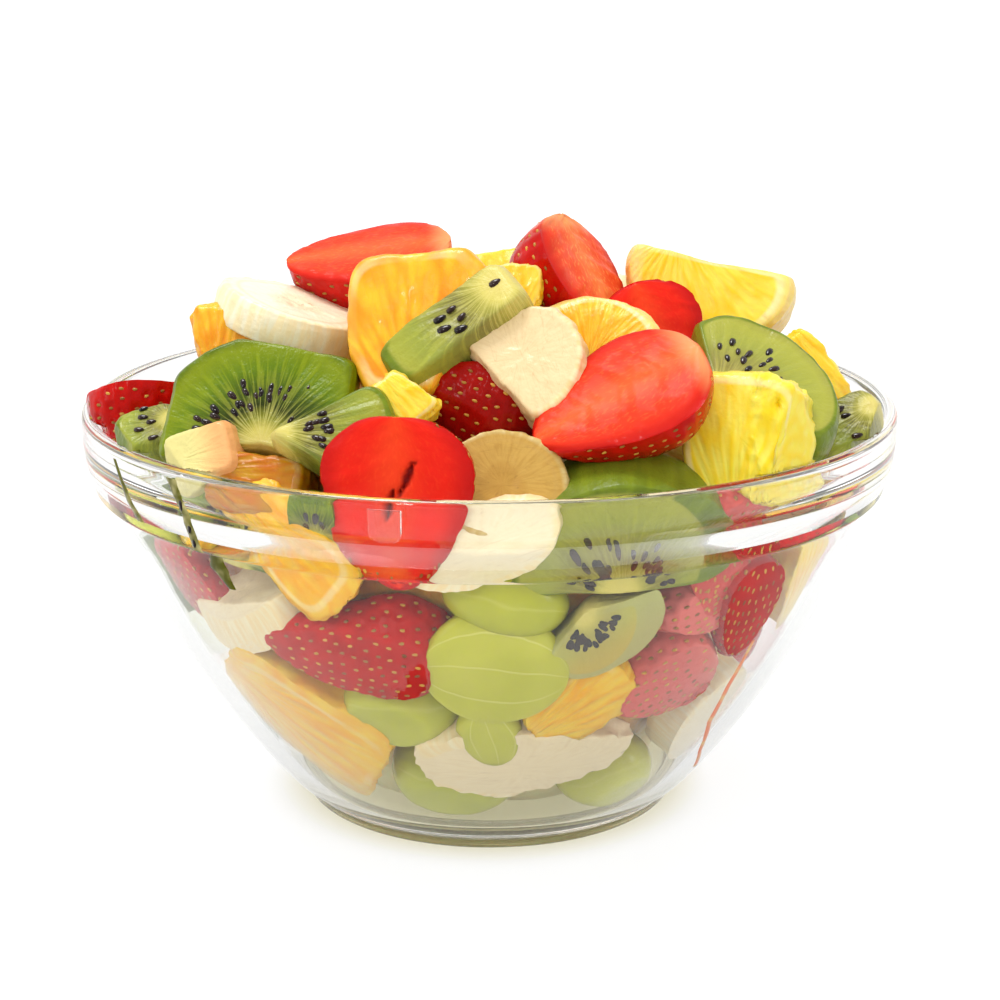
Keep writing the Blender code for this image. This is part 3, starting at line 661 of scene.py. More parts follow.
def kiwi_relief(points, form, radius, seed):
    """Fine wet relief: rays in the cut faces and soft ribs down the peeled side."""
    angle = np.arctan2(points[:, 1], points[:, 0])
    away = np.hypot(points[:, 0], points[:, 1])
    rays = noise(columns(angle * 16, away * 0.12, points[:, 2] * 0.15), 1.0, seed + 4)
    ribs = noise(columns(angle * 9, away * 0.02, points[:, 2] * 0.05), 1.0, seed + 5)
    core = 1 - smooth(away / radius, 0.18, 0.3)
    peel = form[:, 2]
    moved = 0.6 * noise(points, 9, seed) + (1 - peel) * (0.16 * (1 - core) * rays + 0.25 * core)
    return moved + peel * 0.22 * ribs + 0.05 * noise(points, 0.9, seed + 6)


def make_kiwi_sector(radius, sweep, thickness, tone, seed, fine, extras):
    """Part of a round slice of kiwi, with black seeds that point away from its middle."""
    count, face_rings, wall_rings, lanes = (130, 26, 12, 44) if fine else (64, 10, 6, 26)
    outline, peel = evened(*sector_loop(radius, sweep), count, 0.9, extras.get("cuts", ()))
    points, faces, form = slab(outline, peel, thickness, 0.9, face_rings, wall_rings, 0.6)
    shaped = raised(points, faces, kiwi_relief(points, form, radius, seed))
    solid = Solid(shaped, faces, form, 0, points / radius, tone)
    chooser = random.Random(seed + 91)
    for lane in range(lanes):
        turn = math.tau * (lane + chooser.uniform(-0.3, 0.3)) / lanes
        for _ in range(3):
            away = radius * chooser.uniform(*extras.get("reach", (0.27, 0.52)))
            place = (away * math.cos(turn), away * math.sin(turn))
            within = abs(math.degrees(math.atan2(*place))) < sweep / 2
            for face in (1, -1) if fine else (1,):
                if chooser.random() < 0.35 or not within:
                    continue
                if np.linalg.norm(outline - np.array(place), axis=1).min() > 1.3:
                    solid.join(kiwi_seed(place, face * thickness / 2, face, turn - math.pi / 2, chooser))
    return solid


def make_kiwi_chunk(length, width, thickness, tone, seed, fine, extras):
    """Bar or block of kiwi: the peeled side at +Y, the pale core at -Y."""
    loop, flags = chunk_loop(length, width, extras.get("power", 0.42))
    outline, _ = evened(loop, flags, 90 if fine else 60, 0.6)
    peel = smooth(outline[:, 1], 0.40 * length, 0.48 * length)
    points, faces, form = slab(outline, peel, thickness, 1.2, 16, 12, 0.5)
    radius = max(length * 0.92, 12.0)
    about = points - np.array((0.0, -0.42 * length, 0.0))
    shaped = raised(points, faces, kiwi_relief(about, form, radius, seed))
    solid = Solid(shaped, faces, form, 0, about / radius, tone)
    chooser = random.Random(seed + 92)
    scattered = [(chooser.uniform(-0.42, 0.42) * width, chooser.uniform(-0.16, 0.2) * length)
                 for _ in range(int(length * 0.4))]
    height = thickness / 2 + 0.3
    for place in extras.get("seeds", scattered):
        solid.join(kiwi_seed(place, height, 1, 0.0, chooser, extras.get("seed_size", 1.0)))
    for place in scattered if "seeds" not in extras else ():
        solid.join(kiwi_seed(place, -height, -1, 0.0, chooser))
    return solid


def make_banana(length, width, thickness, tone, seed, fine, extras):
    """Slice of banana, long along Y, with a worn rim and fibres down its side."""
    count, face_rings, wall_rings = (100, 18, 10) if fine else (58, 9, 5)
    angles = math.tau * np.arange(96) / 96
    bump = 1 + 0.012 * np.cos(5 * angles + seed) + 0.012 * np.cos(3 * angles - seed)
    loop = columns(width / 2 * bump * np.cos(angles), length / 2 * bump * np.sin(angles))
    outline, peel = evened(loop, np.ones(96), count, 0.4, extras.get("cuts", ()))
    points, faces, form = slab(outline, peel, thickness, 0.8, face_rings, wall_rings, 0.3)
    share, around, side = form.T
    worn = np.clip(layered(points, 2.6, seed), -1, 1) * smooth(share, 0.86, 1.0)
    fibres = noise(columns(around * 70, points[:, 2] * 0.08, 0.0), 1.0, seed + 1)
    moved = 0.45 * noise(points, 10, seed + 2) + extras.get("wear", 0.2) * worn + 0.16 * fibres * side
    moved += (1 - side) * 0.10 * layered(points, 1.6, seed + 3)
    middle = np.exp(-(share / 0.22) ** 2) * (1 - side)
    moved -= 0.35 * middle * (0.5 + noise(points, 2.0, seed + 4))
    local = points / (width / 2, length / 2, thickness / 2)
    return Solid(raised(points, faces, moved), faces, form, 0, local, tone)


def pulp(points, seed, centre):
    """Relief of juice sacs that lie side by side and point away from a centre."""
    away = points - np.array(centre)
    reach = np.linalg.norm(away[:, :2], axis=1)
    angle = np.arctan2(away[:, 0], away[:, 1])
    sacs = columns(angle * max(reach.mean(), 8) / 1.7, reach / 5.0, points[:, 2] / 1.9)
    return np.abs(noise(sacs, 1.0, seed)) + 0.4 * np.abs(noise(sacs * 1.9, 1.0, seed + 1))


def orange_solid(points, faces, form, radius, centre, tone, seed, extras, relief):
    relief = extras.get("relief", relief)
    ragged = extras.get("ragged", 0.0)
    rim = smooth(form[:, 0], 0.75, 1.0)
    moved = 0.8 * noise(points, 10, seed + 2) + rim * 0.5 * relief * layered(points, 2.4, seed + 3)
    moved += relief * (0.5 + 0.25 * rim) * (0.5 - pulp(points, seed, centre))
    moved += ragged * smooth(points[:, 0], -1.0, 4.0) * (0.5 - pulp(points, seed + 5, (0.0, 40.0, 0.0)))
    local = (points - np.array(centre)) / radius
    return Solid(raised(points, faces, moved), faces, form, 0, local, tone)


def make_orange_sector(radius, sweep, thickness, tone, seed, fine, extras):
    """Part of a round slice of orange."""
    count, *rings = (130, 20, 12) if fine else (64, 9, 6)
    outline, peel = evened(*sector_loop(radius, sweep), count, 0.8, extras.get("cuts", ()))
    skin = slab(outline, peel, thickness, 1.0, *rings, 0.8)
    return orange_solid(*skin, radius, extras.get("centre", (0.0, 0.0, 0.0)), tone, seed, extras, 0.6)


def make_orange_chunk(length, width, thickness, tone, seed, fine, extras):
    """Block of orange, a little narrower at one end and leaning to one side."""
    count, *rings = (120, 19, 13) if fine else (60, 8, 6)
    chooser = random.Random(seed)
    loop, flags = chunk_loop(length, width)
    lean = chooser.uniform(-0.15, 0.15)
    narrow = chooser.uniform(0.0, 0.25)
    x, y = loop.T
    loop = columns(x * (1 - narrow * (0.5 - y / length)) + lean * y, y)
    outline, peel = evened(loop, flags, count, 0.7, extras.get("cuts", ()))
    skin = slab(outline, peel, thickness, 1.6, *rings, 0.8, chooser.uniform(0, 0.2))
    centre = (0.0, -length / 2 - ORANGE_MIDDLE, 0.0)
    return orange_solid(*skin, length + ORANGE_MIDDLE, centre, tone, seed, extras, 0.8)


MAKERS = {
    ("strawberry", HALF): make_half_berry, ("grape", HALF): make_half_grape, ("grape", WHOLE): make_grape,
    ("banana", DISC): make_banana, ("kiwi", SECTOR): make_kiwi_sector, ("kiwi", CHUNK): make_kiwi_chunk,
    ("orange", SECTOR): make_orange_sector, ("orange", CHUNK): make_orange_chunk,
}


def press_to_glass(solid, gap, wet=()):
    """Flatten against the glass what would reach past it. Wet spots touch it, and the rest keeps a gap."""
    points = solid.points
    gaps = np.full(len(points), gap)
    for x, y, z, size in wet:
        away = np.linalg.norm(points - np.array((x, y, z)), axis=1) + 0.35 * size * noise(points, 3.5, 11)
        gaps = np.where(away < size, -0.12, gaps)
    reach = np.hypot(points[:, 0], points[:, 1])
    limit = inside_radius(points[:, 2]) - gaps + solid.press
    over = points[:, 2] > BOWL_HEIGHT
    limit[over] = np.maximum(limit[over], RIM_RADIUS - 1.2)
    points[:, :2] *= np.minimum(1.0, limit / np.maximum(reach, 1e-6))[:, None]
    points[:, 2] = np.maximum(points[:, 2], FLOOR_Z + gap)


def add_mesh(name, solid, materials, angle=60):
    """Object in metres with what the materials read stored on its points."""
    mesh = bpy.data.meshes.new(name)
    mesh.from_pydata((solid.points * MM).tolist(), [], solid.faces)
    mesh.polygons.foreach_set("material_index", solid.slots)
    for field, kind, key in (("local", "FLOAT_VECTOR", "vector"), ("form", "FLOAT_VECTOR", "vector"),
                             ("tone", "FLOAT", "value"), ("trait", "FLOAT", "value")):
        attribute = mesh.attributes.new(field, kind, "POINT")
        attribute.data.foreach_set(key, getattr(solid, field).astype(np.float32).ravel())
    for material in materials:
        mesh.materials.append(material)
    mesh.update()
    mesh.shade_smooth()
    mesh.set_sharp_from_angle(angle=math.radians(angle))
    obj = bpy.data.objects.new(name, mesh)
    bpy.context.scene.collection.objects.link(obj)
    return obj


# ---- Materials ----

def srgb(red, green, blue):
    """Linear colour from screen values of 0 to 255."""
    def linear(value):
        value /= 255
        return value / 12.92 if value <= 0.04045 else ((value + 0.055) / 1.055) ** 2.4
    return (linear(red), linear(green), linear(blue), 1.0)


def math_method(operation, swapped=False):
    """Method of Value that makes a Math node."""
    def method(self, other=0.0):
        inputs = (other, self) if swapped else (self, other)
        return self.nodes.value("ShaderNodeMath", dict(enumerate(inputs)), operation=operation)
    return method


class Value:
    """An output of a node. Arithmetic with it makes Math nodes."""

    def __init__(self, nodes, socket):
        self.nodes = nodes
        self.socket = socket

    __add__ = __radd__ = math_method("ADD")
    __sub__ = math_method("SUBTRACT")
    __rsub__ = math_method("SUBTRACT", swapped=True)
    __mul__ = __rmul__ = math_method("MULTIPLY")
    __pow__ = math_method("POWER")
    __abs__ = math_method("ABSOLUTE")
    sign = math_method("SIGN")
    cosine = math_method("COSINE")
    angle_to = math_method("ARCTAN2")
    folded = math_method("PINGPONG")
    at_least = math_method("MAXIMUM")
    at_most = math_method("MINIMUM")
    over = math_method("GREATER_THAN")

    def line(self, low, high, first, last, **settings):
        """First below low, last above high, and straight between."""
        inputs = dict(enumerate((self, low, high, first, last)))
        return self.nodes.value("ShaderNodeMapRange", inputs, **settings)

    def step(self, low, high):
        """0 below low and 1 above high, with a smooth curve between."""
        return self.line(low, high, 0.0, 1.0, interpolation_type="SMOOTHSTEP")


class Nodes:
    """Short calls for the nodes of one tree. A colour of three numbers is in screen values."""

    def __init__(self, tree):
        self.tree = tree

    def feed(self, socket, value):
        if isinstance(value, Value):
            self.tree.links.new(value.socket, socket)
        elif socket.type == "RGBA" and len(value) == 3:
            socket.default_value = srgb(*value)
        else:
            socket.default_value = value

    def node(self, kind, inputs=(), **settings):
        made = self.tree.nodes.new(kind)
        for key, value in settings.items():
            setattr(made, key, value)
        for index, value in dict(inputs).items():
            self.feed(made.inputs[index], value)
        return made

    def value(self, kind, inputs=(), output=0, **settings):
        return Value(self, self.node(kind, inputs, **settings).outputs[output])

    def path(self, name):
        return self.value("ShaderNodeLightPath", output=name)

    def read(self, name, output="Fac"):
        return self.value("ShaderNodeAttribute", output=output, attribute_name=name)

    def place(self, output="Object"):
        """The point's place on the object, in metres."""
        return self.value("ShaderNodeTexCoord", output=output)

    def parts(self, vector):
        """The three parts of a vector, or of what a mesh stores under a name."""
        vector = self.read(vector, "Vector") if isinstance(vector, str) else vector
        return [Value(self, part) for part in self.node("ShaderNodeSeparateXYZ", {0: vector}).outputs]

    def noise(self, place, scale, detail=2.0):
        """Noise over a place, or over a vector of three parts."""
        if isinstance(place, tuple):
            place = self.value("ShaderNodeCombineXYZ", dict(enumerate(place)))
        return self.value("ShaderNodeTexNoise", {"Vector": place, "Scale": scale, "Detail": detail})

    def mix(self, share, first, second):
        return self.value("ShaderNodeMix", {0: share, 6: first, 7: second}, 2, data_type="RGBA")

    def either(self, choice, first, second):
        """The second number where the choice is over a half, and the first elsewhere."""
        return self.value("ShaderNodeMix", {0: choice.over(0.5), 2: first, 3: second})

    def ramp(self, value, *stops):
        made = self.node("ShaderNodeValToRGB", {0: value})
        elements = made.color_ramp.elements
        while len(elements) < len(stops):
            elements.new(0.5)
        for element, (place, colour) in zip(elements, stops):
            element.position = place
            element.color = srgb(*colour)
        return Value(self, made.outputs[0])


class Look(Nodes):
    """A material with a Principled shader, given values for the shader's sockets."""

    def __init__(self, name, **values):
        self.material = bpy.data.materials.new(name)
        self.material.use_nodes = True
        super().__init__(self.material.node_tree)
        self.shader = self.tree.nodes["Principled BSDF"]
        for socket, value in values.items():
            self.shine(socket.replace("_", " "), value)

    def shine(self, socket, value):
        self.feed(self.shader.inputs[socket], value)

    def bump(self, height, strength, distance):
        inputs = {"Strength": strength, "Distance": distance, "Height": height}
        self.shine("Normal", self.value("ShaderNodeBump", inputs))

    def colour(self, value, tone):
        """The colour as it is, or darkened with painted shade where the tone is below 0."""
        self.shine("Base Color", self.mix(tone.at_most(0.0) * -1.0, value, (0.02, 0.004, 0.002, 1.0)))


def strawberry_look():
    look = Look("strawberry_flesh_and_skin", Roughness=0.22, IOR=1.42, Specular_IOR_Level=0.22,
                Coat_Weight=0.05, Coat_Roughness=0.08)
    mix = look.mix
    across, along, skin = look.parts("form")
    tone = look.read("tone")
    trait = look.read("trait")
    spot = look.place()
    away = abs(across)
    drift = look.noise(spot, 160.0) * 0.10
    fibre = look.noise((along * 1.6 - away * 0.55 + drift, across.sign() * 3.0, away), 19.0, 3.0)
    deep = mix(tone, (236, 20, 2), (242, 74, 26))
    light = mix(tone, (251, 66, 10), (255, 150, 76))
    rim = away.step(0.62, 1.0)
    heart = 1 - away.step(0.0, 0.5)
    streak = fibre.step(0.50, 0.68) * (0.16 + tone * 0.42)
    flesh = mix((streak + heart * 0.5) * (1 - rim), deep, light)
    flesh = mix(rim * 0.9, flesh, mix(tone, (196, 8, 4), (204, 20, 10)))
    stem = (1 - along.step(0.0, 0.16)) * tone.step(0.1, 0.5)
    flesh = mix(stem * 0.7, flesh, (255, 176, 110))
    blotch = mix(look.noise(spot, 220.0, 3.0), (156, 6, 4), (224, 22, 12))
    outside = mix(stem * 0.55, blotch, (240, 110, 50))
    # Painted light and shade: the trait pales the skin and darkens the flesh, in the slits and over whole
    # pieces.
    outside = mix(trait, outside, (250, 150, 140))
    flesh = mix(trait, flesh, (120, 4, 2))
    look.colour(mix(skin, flesh, outside), tone)
    look.bump(look.noise(spot, 900.0, 3.0), 0.25, 0.0004)
    wet = look.noise(spot, 170.0, 1.0).step(0.35, 0.6)
    look.shine("Roughness", 0.2 + (1 - skin) * (0.22 + wet * 0.2))
    return look.material


def seed_look(name, dark, light, **values):
    look = Look(name, **values)
    look.shine("Base Color", look.mix(look.read("tone"), dark, light))
    return look.material


def strawberry_seed_look():
    return seed_look("strawberry_seed", (140, 84, 24), (222, 170, 66), Roughness=0.35)


def kiwi_seed_look():
    return seed_look("kiwi_seed", (22, 14, 14), (52, 34, 30), Roughness=0.18, Coat_Weight=0.5)


def kiwi_look():
    look = Look("kiwi_flesh", Roughness=0.3, IOR=1.42, Specular_IOR_Level=0.3, Coat_Weight=0.15,
                Coat_Roughness=0.06)
    mix = look.mix
    x, y, z = look.parts("local")
    tone = look.read("tone")
    trait = look.read("trait")
    peel = look.parts("form")[2]
    spot = look.place()
    angle = y.angle_to(x)
    wobble = (look.noise(spot, 130.0) - 0.5) * 0.14
    away = (x * x + y * y) ** 0.5 + wobble
    rays = look.noise((angle * 9.0, away * 1.6, z), 2.2)
    spoke = 1 - (angle * 9.5 + rays * 0.5).folded(0.5).step(0.02, 0.12)
    spoke = spoke * (1 - away.step(0.55, 0.95))
    ray = (rays.step(0.46, 0.66) * 0.55).at_least(spoke * 0.6)
    ray = ray * (1 - tone.step(0.4, 0.9))
    base = look.ramp(away, (0.0, (222, 204, 112)), (0.14, (206, 194, 92)), (0.23, (128, 130, 28)),
                     (0.34, (44, 56, 2)), (0.50, (66, 88, 2)), (0.68, (100, 128, 2)),
                     (0.88, (130, 146, 4)), (1.0, (92, 108, 0)))
    pale = look.ramp(away, (0.0, (232, 218, 140)), (0.25, (216, 208, 118)), (0.45, (152, 160, 50)),
                     (0.75, (148, 164, 18)), (1.0, (112, 130, 4)))
    flesh = mix(tone * 0.55, mix(ray, base, pale), (222, 206, 112))
    core = mix((y + wobble * 2.0).step(0.35, 0.85), (228, 216, 140), (244, 176, 112))
    flesh = mix(trait, flesh, core)
    side = mix(look.noise((angle * 7.0, 0.0, z), 1.4), (52, 84, 2), (128, 150, 16))
    side = mix(tone.step(0.6, 1.0) * 0.8, side, (206, 204, 150))
    look.colour(mix(peel * (1 - trait) * 0.8, flesh, side), tone)
    look.bump(look.noise(spot, 1100.0, 3.0) + rays * 0.8, 0.35, 0.0005)
    return look.material


def banana_look():
    look = Look("banana_flesh", Roughness=0.3, IOR=1.4, Coat_Weight=0.15, Coat_Roughness=0.1)
    mix = look.mix
    x, y, z = look.parts("local")
    share, around, peel = look.parts("form")
    tone = look.read("tone")
    plain = 1 - look.read("trait")
    spot = look.place()
    angle = y.angle_to(x)
    fibre = look.noise((angle * 5.0, share * 1.5, 0.0), 2.4, 3.0)
    bright = mix(tone, (224, 178, 86), (255, 246, 216))
    shade = mix(tone, (190, 134, 46), (252, 234, 188))
    flesh = mix(fibre.step(0.40, 0.70) * 0.35, bright, shade)
    lobes = (angle * 3.0).cosine() * 0.06
    inner = (1 - (share + lobes).step(0.30, 0.42)) * plain
    flesh = mix(inner * 0.45, flesh, shade)
    ring = share.step(0.74, 0.80) * (1 - share.step(0.80, 0.86))
    flesh = mix(ring * plain * 0.3, flesh, (214, 172, 96))
    drift = look.noise(spot, 120.0) * 0.5
    strands = look.noise((x * 2.6 + drift, y * 0.3, z), 4.0, 1.0)
    strands = 1 - abs(strands - 0.56).step(0.0, 0.016)
    flesh = mix(strands * 0.16, flesh, (164, 112, 44))
    speck = look.noise(spot, 900.0).step(0.60, 0.70)
    flesh = mix(speck * (inner * 0.35), flesh, (140, 92, 34))
    lines = look.noise((around * 40.0, z * 0.3, 0.0), 1.6)
    side = mix(lines.step(0.35, 0.7), mix(tone, (222, 184, 100), (255, 234, 184)),
               mix(tone, (236, 208, 140), (255, 246, 214)))
    look.colour(mix(peel, flesh, side), tone)
    look.bump(look.noise(spot, 1200.0, 3.0), 0.3, 0.0004)
    return look.material


def orange_look():
    look = Look("orange_pulp", Roughness=0.3, IOR=1.4, Subsurface_Weight=0.35, Subsurface_Scale=0.004,
                Subsurface_Radius=(1.0, 0.7, 0.15), Coat_Weight=0.12, Coat_Roughness=0.08)
    mix = look.mix
    x, y, z = look.parts("local")
    share, _, peel = look.parts("form")
    tone = look.read("tone")
    trait = look.read("trait")
    spot = look.place()
    away = (x * x + y * y) ** 0.5
    lanes = look.value("ShaderNodeCombineXYZ", {0: x.angle_to(y) * 9.0, 1: away * 2.6, 2: z * 7.0})
    sacs = look.value("ShaderNodeTexVoronoi", {"Vector": lanes, "Scale": 1.7}, feature="SMOOTH_F1")
    deep = mix(tone, (252, 140, 0), (255, 220, 24))
    light = mix(tone, (255, 186, 20), (255, 238, 92))
    flesh = mix(sacs.step(0.25, 0.75), light, deep)
    cloud = look.noise(spot, 180.0).step(0.35, 0.7)
    flesh = mix(cloud * 0.5, flesh, deep)
    patch = look.noise(spot, 60.0, 1.0).step(0.40, 0.55)
    band = share.step(0.80, 0.86) * (1 - share.step(0.90, 0.96))
    flesh = mix(band * (patch * 0.4 + trait * 0.5), flesh, (255, 240, 190))
    outer = share.step(0.88, 0.94) * trait
    flesh = mix(outer * 0.7, flesh, (255, 214, 110))
    look.colour(mix(peel * 0.5, flesh, (255, 226, 150)), tone)
    look.bump(sacs + look.noise(spot, 1000.0) * 0.3, 0.5, 0.0008)
    return look.material


def grape_look():
    look = Look("grape_flesh", Roughness=0.2, IOR=1.4, Subsurface_Weight=0.6, Subsurface_Scale=0.005,
                Subsurface_Radius=(0.9, 1.0, 0.4), Coat_Weight=0.2, Coat_Roughness=0.06)
    mix = look.mix
    across, _, skin = look.parts("form")
    tone = look.read("tone")
    spot = look.place()
    lines = (across * 1.6 + look.noise(spot, 90.0) * 0.3).folded(0.5)
    vein = (1 - lines.step(0.0, 0.045)) * 0.8
    flesh = mix(look.noise(spot, 110.0), mix(tone, (160, 164, 32), (196, 196, 56)),
                mix(tone, (190, 192, 60), (220, 216, 92)))
    look.shine("Base Color", mix(vein * (0.7 - skin * 0.5), flesh, (232, 228, 140)))
    look.bump(look.noise(spot, 500.0), 0.15, 0.0004)
    return look.material


def pulp_and_painted_shade_look():
    """Mixed pulp in dark fruit colours, painted shade for the gaps between the pieces, paler at the floor of
    the bowl, where the juice stands.
    """
    look = Look("pulp_with_painted_shade", Roughness=0.3, Subsurface_Weight=0.3, Subsurface_Scale=0.004)
    spot = look.place()
    # Fruit colours held dark as painted shade for the gaps between the pieces.
    mixed = look.ramp(look.noise(spot, 55.0), (0.30, (150, 60, 18)), (0.45, (214, 128, 30)),
                      (0.60, (226, 170, 70)), (0.75, (150, 140, 40)))
    height = look.parts(spot)[2]
    look.shine("Base Color", look.mix(height.step(14 * MM, 30 * MM), (222, 212, 158), mixed))
    look.bump(look.noise(spot, 400.0, 3.0), 0.6, 0.001)
    return look.material


def glass_look():
    """Clear glass that lets lamps through, and lets out the light that has long gone round inside it."""
    look = Look("clear_glass", Roughness=0.0, Transmission_Weight=1.0, Base_Color=(0.985, 0.992, 0.98, 1.0))
    look.shine("IOR", 1.5 - look.path("Ray Depth").over(12.0) * 0.5)
    clear = look.node("ShaderNodeBsdfTransparent", {"Color": (0.97, 0.975, 0.965, 1.0)})
    made = look.node("ShaderNodeMixShader", {0: look.path("Is Shadow Ray")})
    look.tree.links.new(look.shader.outputs[0], made.inputs[1])
    look.tree.links.new(clear.outputs[0], made.inputs[2])
    look.tree.links.new(made.outputs[0], look.tree.nodes["Material Output"].inputs["Surface"])
    return look.material


def juice_look(name, colour):
    look = Look(name, Roughness=0.1, IOR=1.36)
    share = look.noise(look.place(), 300.0).step(0.4, 0.9)
    look.shine("Base Color", look.mix(share, colour, (226, 214, 150)))
    return look.material


# ---- The pieces ----

def build_bowl():
    solid = Solid(*turned(outer_profile() + inner_profile()))
    bowl = add_mesh("glass_bowl", solid, [glass_look()], 35)
    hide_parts("bowl")
    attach(bowl, ROOT)


def build_lug():
    """Thin raised pad on the front of the band, round at its lower end, as the mould leaves it."""
    share = np.linspace(-1, 1, LUG_STEPS)
    middle, half = np.radians((sum(LUG_ANGLES) / 2, (LUG_ANGLES[1] - LUG_ANGLES[0]) / 2))
    rows = []
    for lift, inset in ((-0.1, 0.0), (0.22, 0.06)):
        turn = middle + half * share * (1 - inset)
        low = LUG_HEIGHTS[0] + inset - 2.2 * np.sqrt(np.maximum(0.0, 1 - np.abs(share) ** 3))
        for height in (low, LUG_HEIGHTS[1] - inset):
            rows.append(circle(RIM_RADIUS + lift, turn, height))
    order = (0, 1, 3, 2)
    faces = []
    for first, second in zip(order, order[1:] + order[:1]):
        for index in range(LUG_STEPS - 1):
            a, b = first * LUG_STEPS + index, second * LUG_STEPS + index
            faces.append((a, a + 1, b + 1, b))
    for end in (0, LUG_STEPS - 1):
        faces.append(tuple(row * LUG_STEPS + end for row in order))
    lug = add_mesh("glass_lug", Solid(np.vstack(rows), faces), [glass_look()])
    data = bmesh.new()
    data.from_mesh(lug.data)
    bmesh.ops.recalc_face_normals(data, faces=data.faces)
    data.to_mesh(lug.data)
    data.free()
    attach(lug, ROOT)


def build_fruit(looks):
    """The fruit that shows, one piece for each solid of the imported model."""
    for index, (name, form, sizes, place, face, axis, tone) in enumerate(PIECES):
        kind = name.split("_")[0]
        extras = EXTRAS.get(name, {})
        solid = MAKERS[kind, form](*sizes, tone, 100 + 7 * index, True, extras)
        solid.trait = solid.trait + extras.get("trait", 0.0)
        solid.move(stance(place, face, axis))
        press_to_glass(solid, 0.2 + 0.025 * index, extras.get("wet", ()))
        fruit = add_mesh("cut_" + name, solid, looks[kind])
        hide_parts(name)
        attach(fruit, ROOT)


def ring_places(rings, seed, wobble, rises, top_rise, lean, *spans):
    """Sizes and stances of the fruit in rings round the back."""
    chooser = random.Random(seed)
    rows = []
    for height, radius, count, first, last in rings:
        for index in range(count):
            even = first + (last - first) * index / (count - 1)
            angle = math.radians(even + chooser.uniform(-wobble, wobble))
            rise = chooser.uniform(*rises) if height < BOWL_HEIGHT else top_rise
            out = (math.cos(angle), math.sin(angle), rise)
            axis = (-math.sin(angle), math.cos(angle), chooser.uniform(-lean, lean))
            sizes = [chooser.uniform(*span) for span in spans]
            place = (radius * math.cos(angle), radius * math.sin(angle), height + chooser.uniform(-2, 2))
            rows.append((sizes, stance(place, out, axis)))
    return rows


def heap_fruit(kind, sizes, chooser, seed):
    """One piece of fruit that fills a lump of the heap, about the lump's own middle."""
    length, width, thickness = sizes
    forms = {
        "strawberry": (HALF, length, width, thickness), "kiwi": (SECTOR, 0.58 * length, 180, thickness),
        "banana": (DISC, length, width * 1.1, thickness), "grape": (WHOLE, 0.9 * length, 1.5 * thickness),
        "orange": (CHUNK, length, width, thickness * 1.1),
    }
    form, *own_sizes = forms[kind]
    solid = MAKERS[kind, form](*own_sizes, chooser.uniform(0.0, 0.9), seed, False, {})
    if kind == "strawberry":
        flip = chooser.random() < 0.6
        turn = Matrix.Rotation(math.pi if flip else 0.0, 4, "Y")
        solid.move(Matrix.Translation((0, 0, -thickness / 2 if flip else thickness / 2)) @ turn)
    if kind == "kiwi":
        solid.move(Matrix.Rotation(math.pi / 2, 4, "Z") @ Matrix.Translation((0, -0.42 * own_sizes[0], 0)))
    return solid


def build_heap(looks):
    """The fruit behind what shows, one joined piece for each kind, over a smaller core."""
    lumps = ring_places(HEAP_RINGS, SEED, 4, (-0.4, 0.2), 1.2, 0.7, (25, 32), (18, 24), (10, 13))
    lumps += ring_places(FILL_RINGS, SEED + 2, 5, (-0.3, 0.3), 1.0, 1.2, (20, 27), (16, 20), (8, 10))
    kinds = ("orange", "strawberry", "banana", "kiwi", "orange", "grape", "banana", "strawberry", "kiwi")
    chooser = random.Random(SEED + 1)
    joined = {kind: Solid() for kind in ("strawberry", "kiwi", "banana", "orange", "grape")}
    for index, (sizes, matrix) in enumerate(lumps):
        kind = kinds[(index * 4 + index // 9) % len(kinds)]
        solid = heap_fruit(kind, sizes, chooser, 900 + 5 * index)
        solid.move(matrix)
        press_to_glass(solid, 0.3 + 0.02 * index)
        joined[kind].join(solid)
    for kind, solid in joined.items():
        fruit = add_mesh("heap_" + kind, solid, looks[kind])
        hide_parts("fruit_heap")
        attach(fruit, ROOT)


def build_core():
    """Middle of the heap, with the relief of packed fruit."""
    bottom = FLOOR_Z + 0.5
    profile = [(0.0, bottom)]
    for height in np.linspace(bottom, CORE_CONE_TOP, 28):
        profile.append((float(inside_radius(height)) - CORE_INSET, float(height)))
    for angle in np.linspace(0.0, 0.96, 22) * math.pi / 2:
        profile.append((CORE_SHOULDER_RADIUS * math.cos(angle),
                        CORE_SHOULDER + (CORE_TOP - CORE_SHOULDER) * math.sin(angle)))
    points, faces = turned(profile + [(0.0, CORE_TOP)], 100)
    relief = 1.8 * noise(points, 11, 3) + 0.9 * noise(points, 4.5, 4) - 1.0
    relief *= smooth(points[:, 2], FLOOR_Z, FLOOR_Z + 4)
    solid = Solid(raised(points, faces, relief), faces, local=points)
    core = add_mesh("fruit_core", solid, [pulp_and_painted_shade_look()])
    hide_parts("fruit_heap")
    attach(core, ROOT)


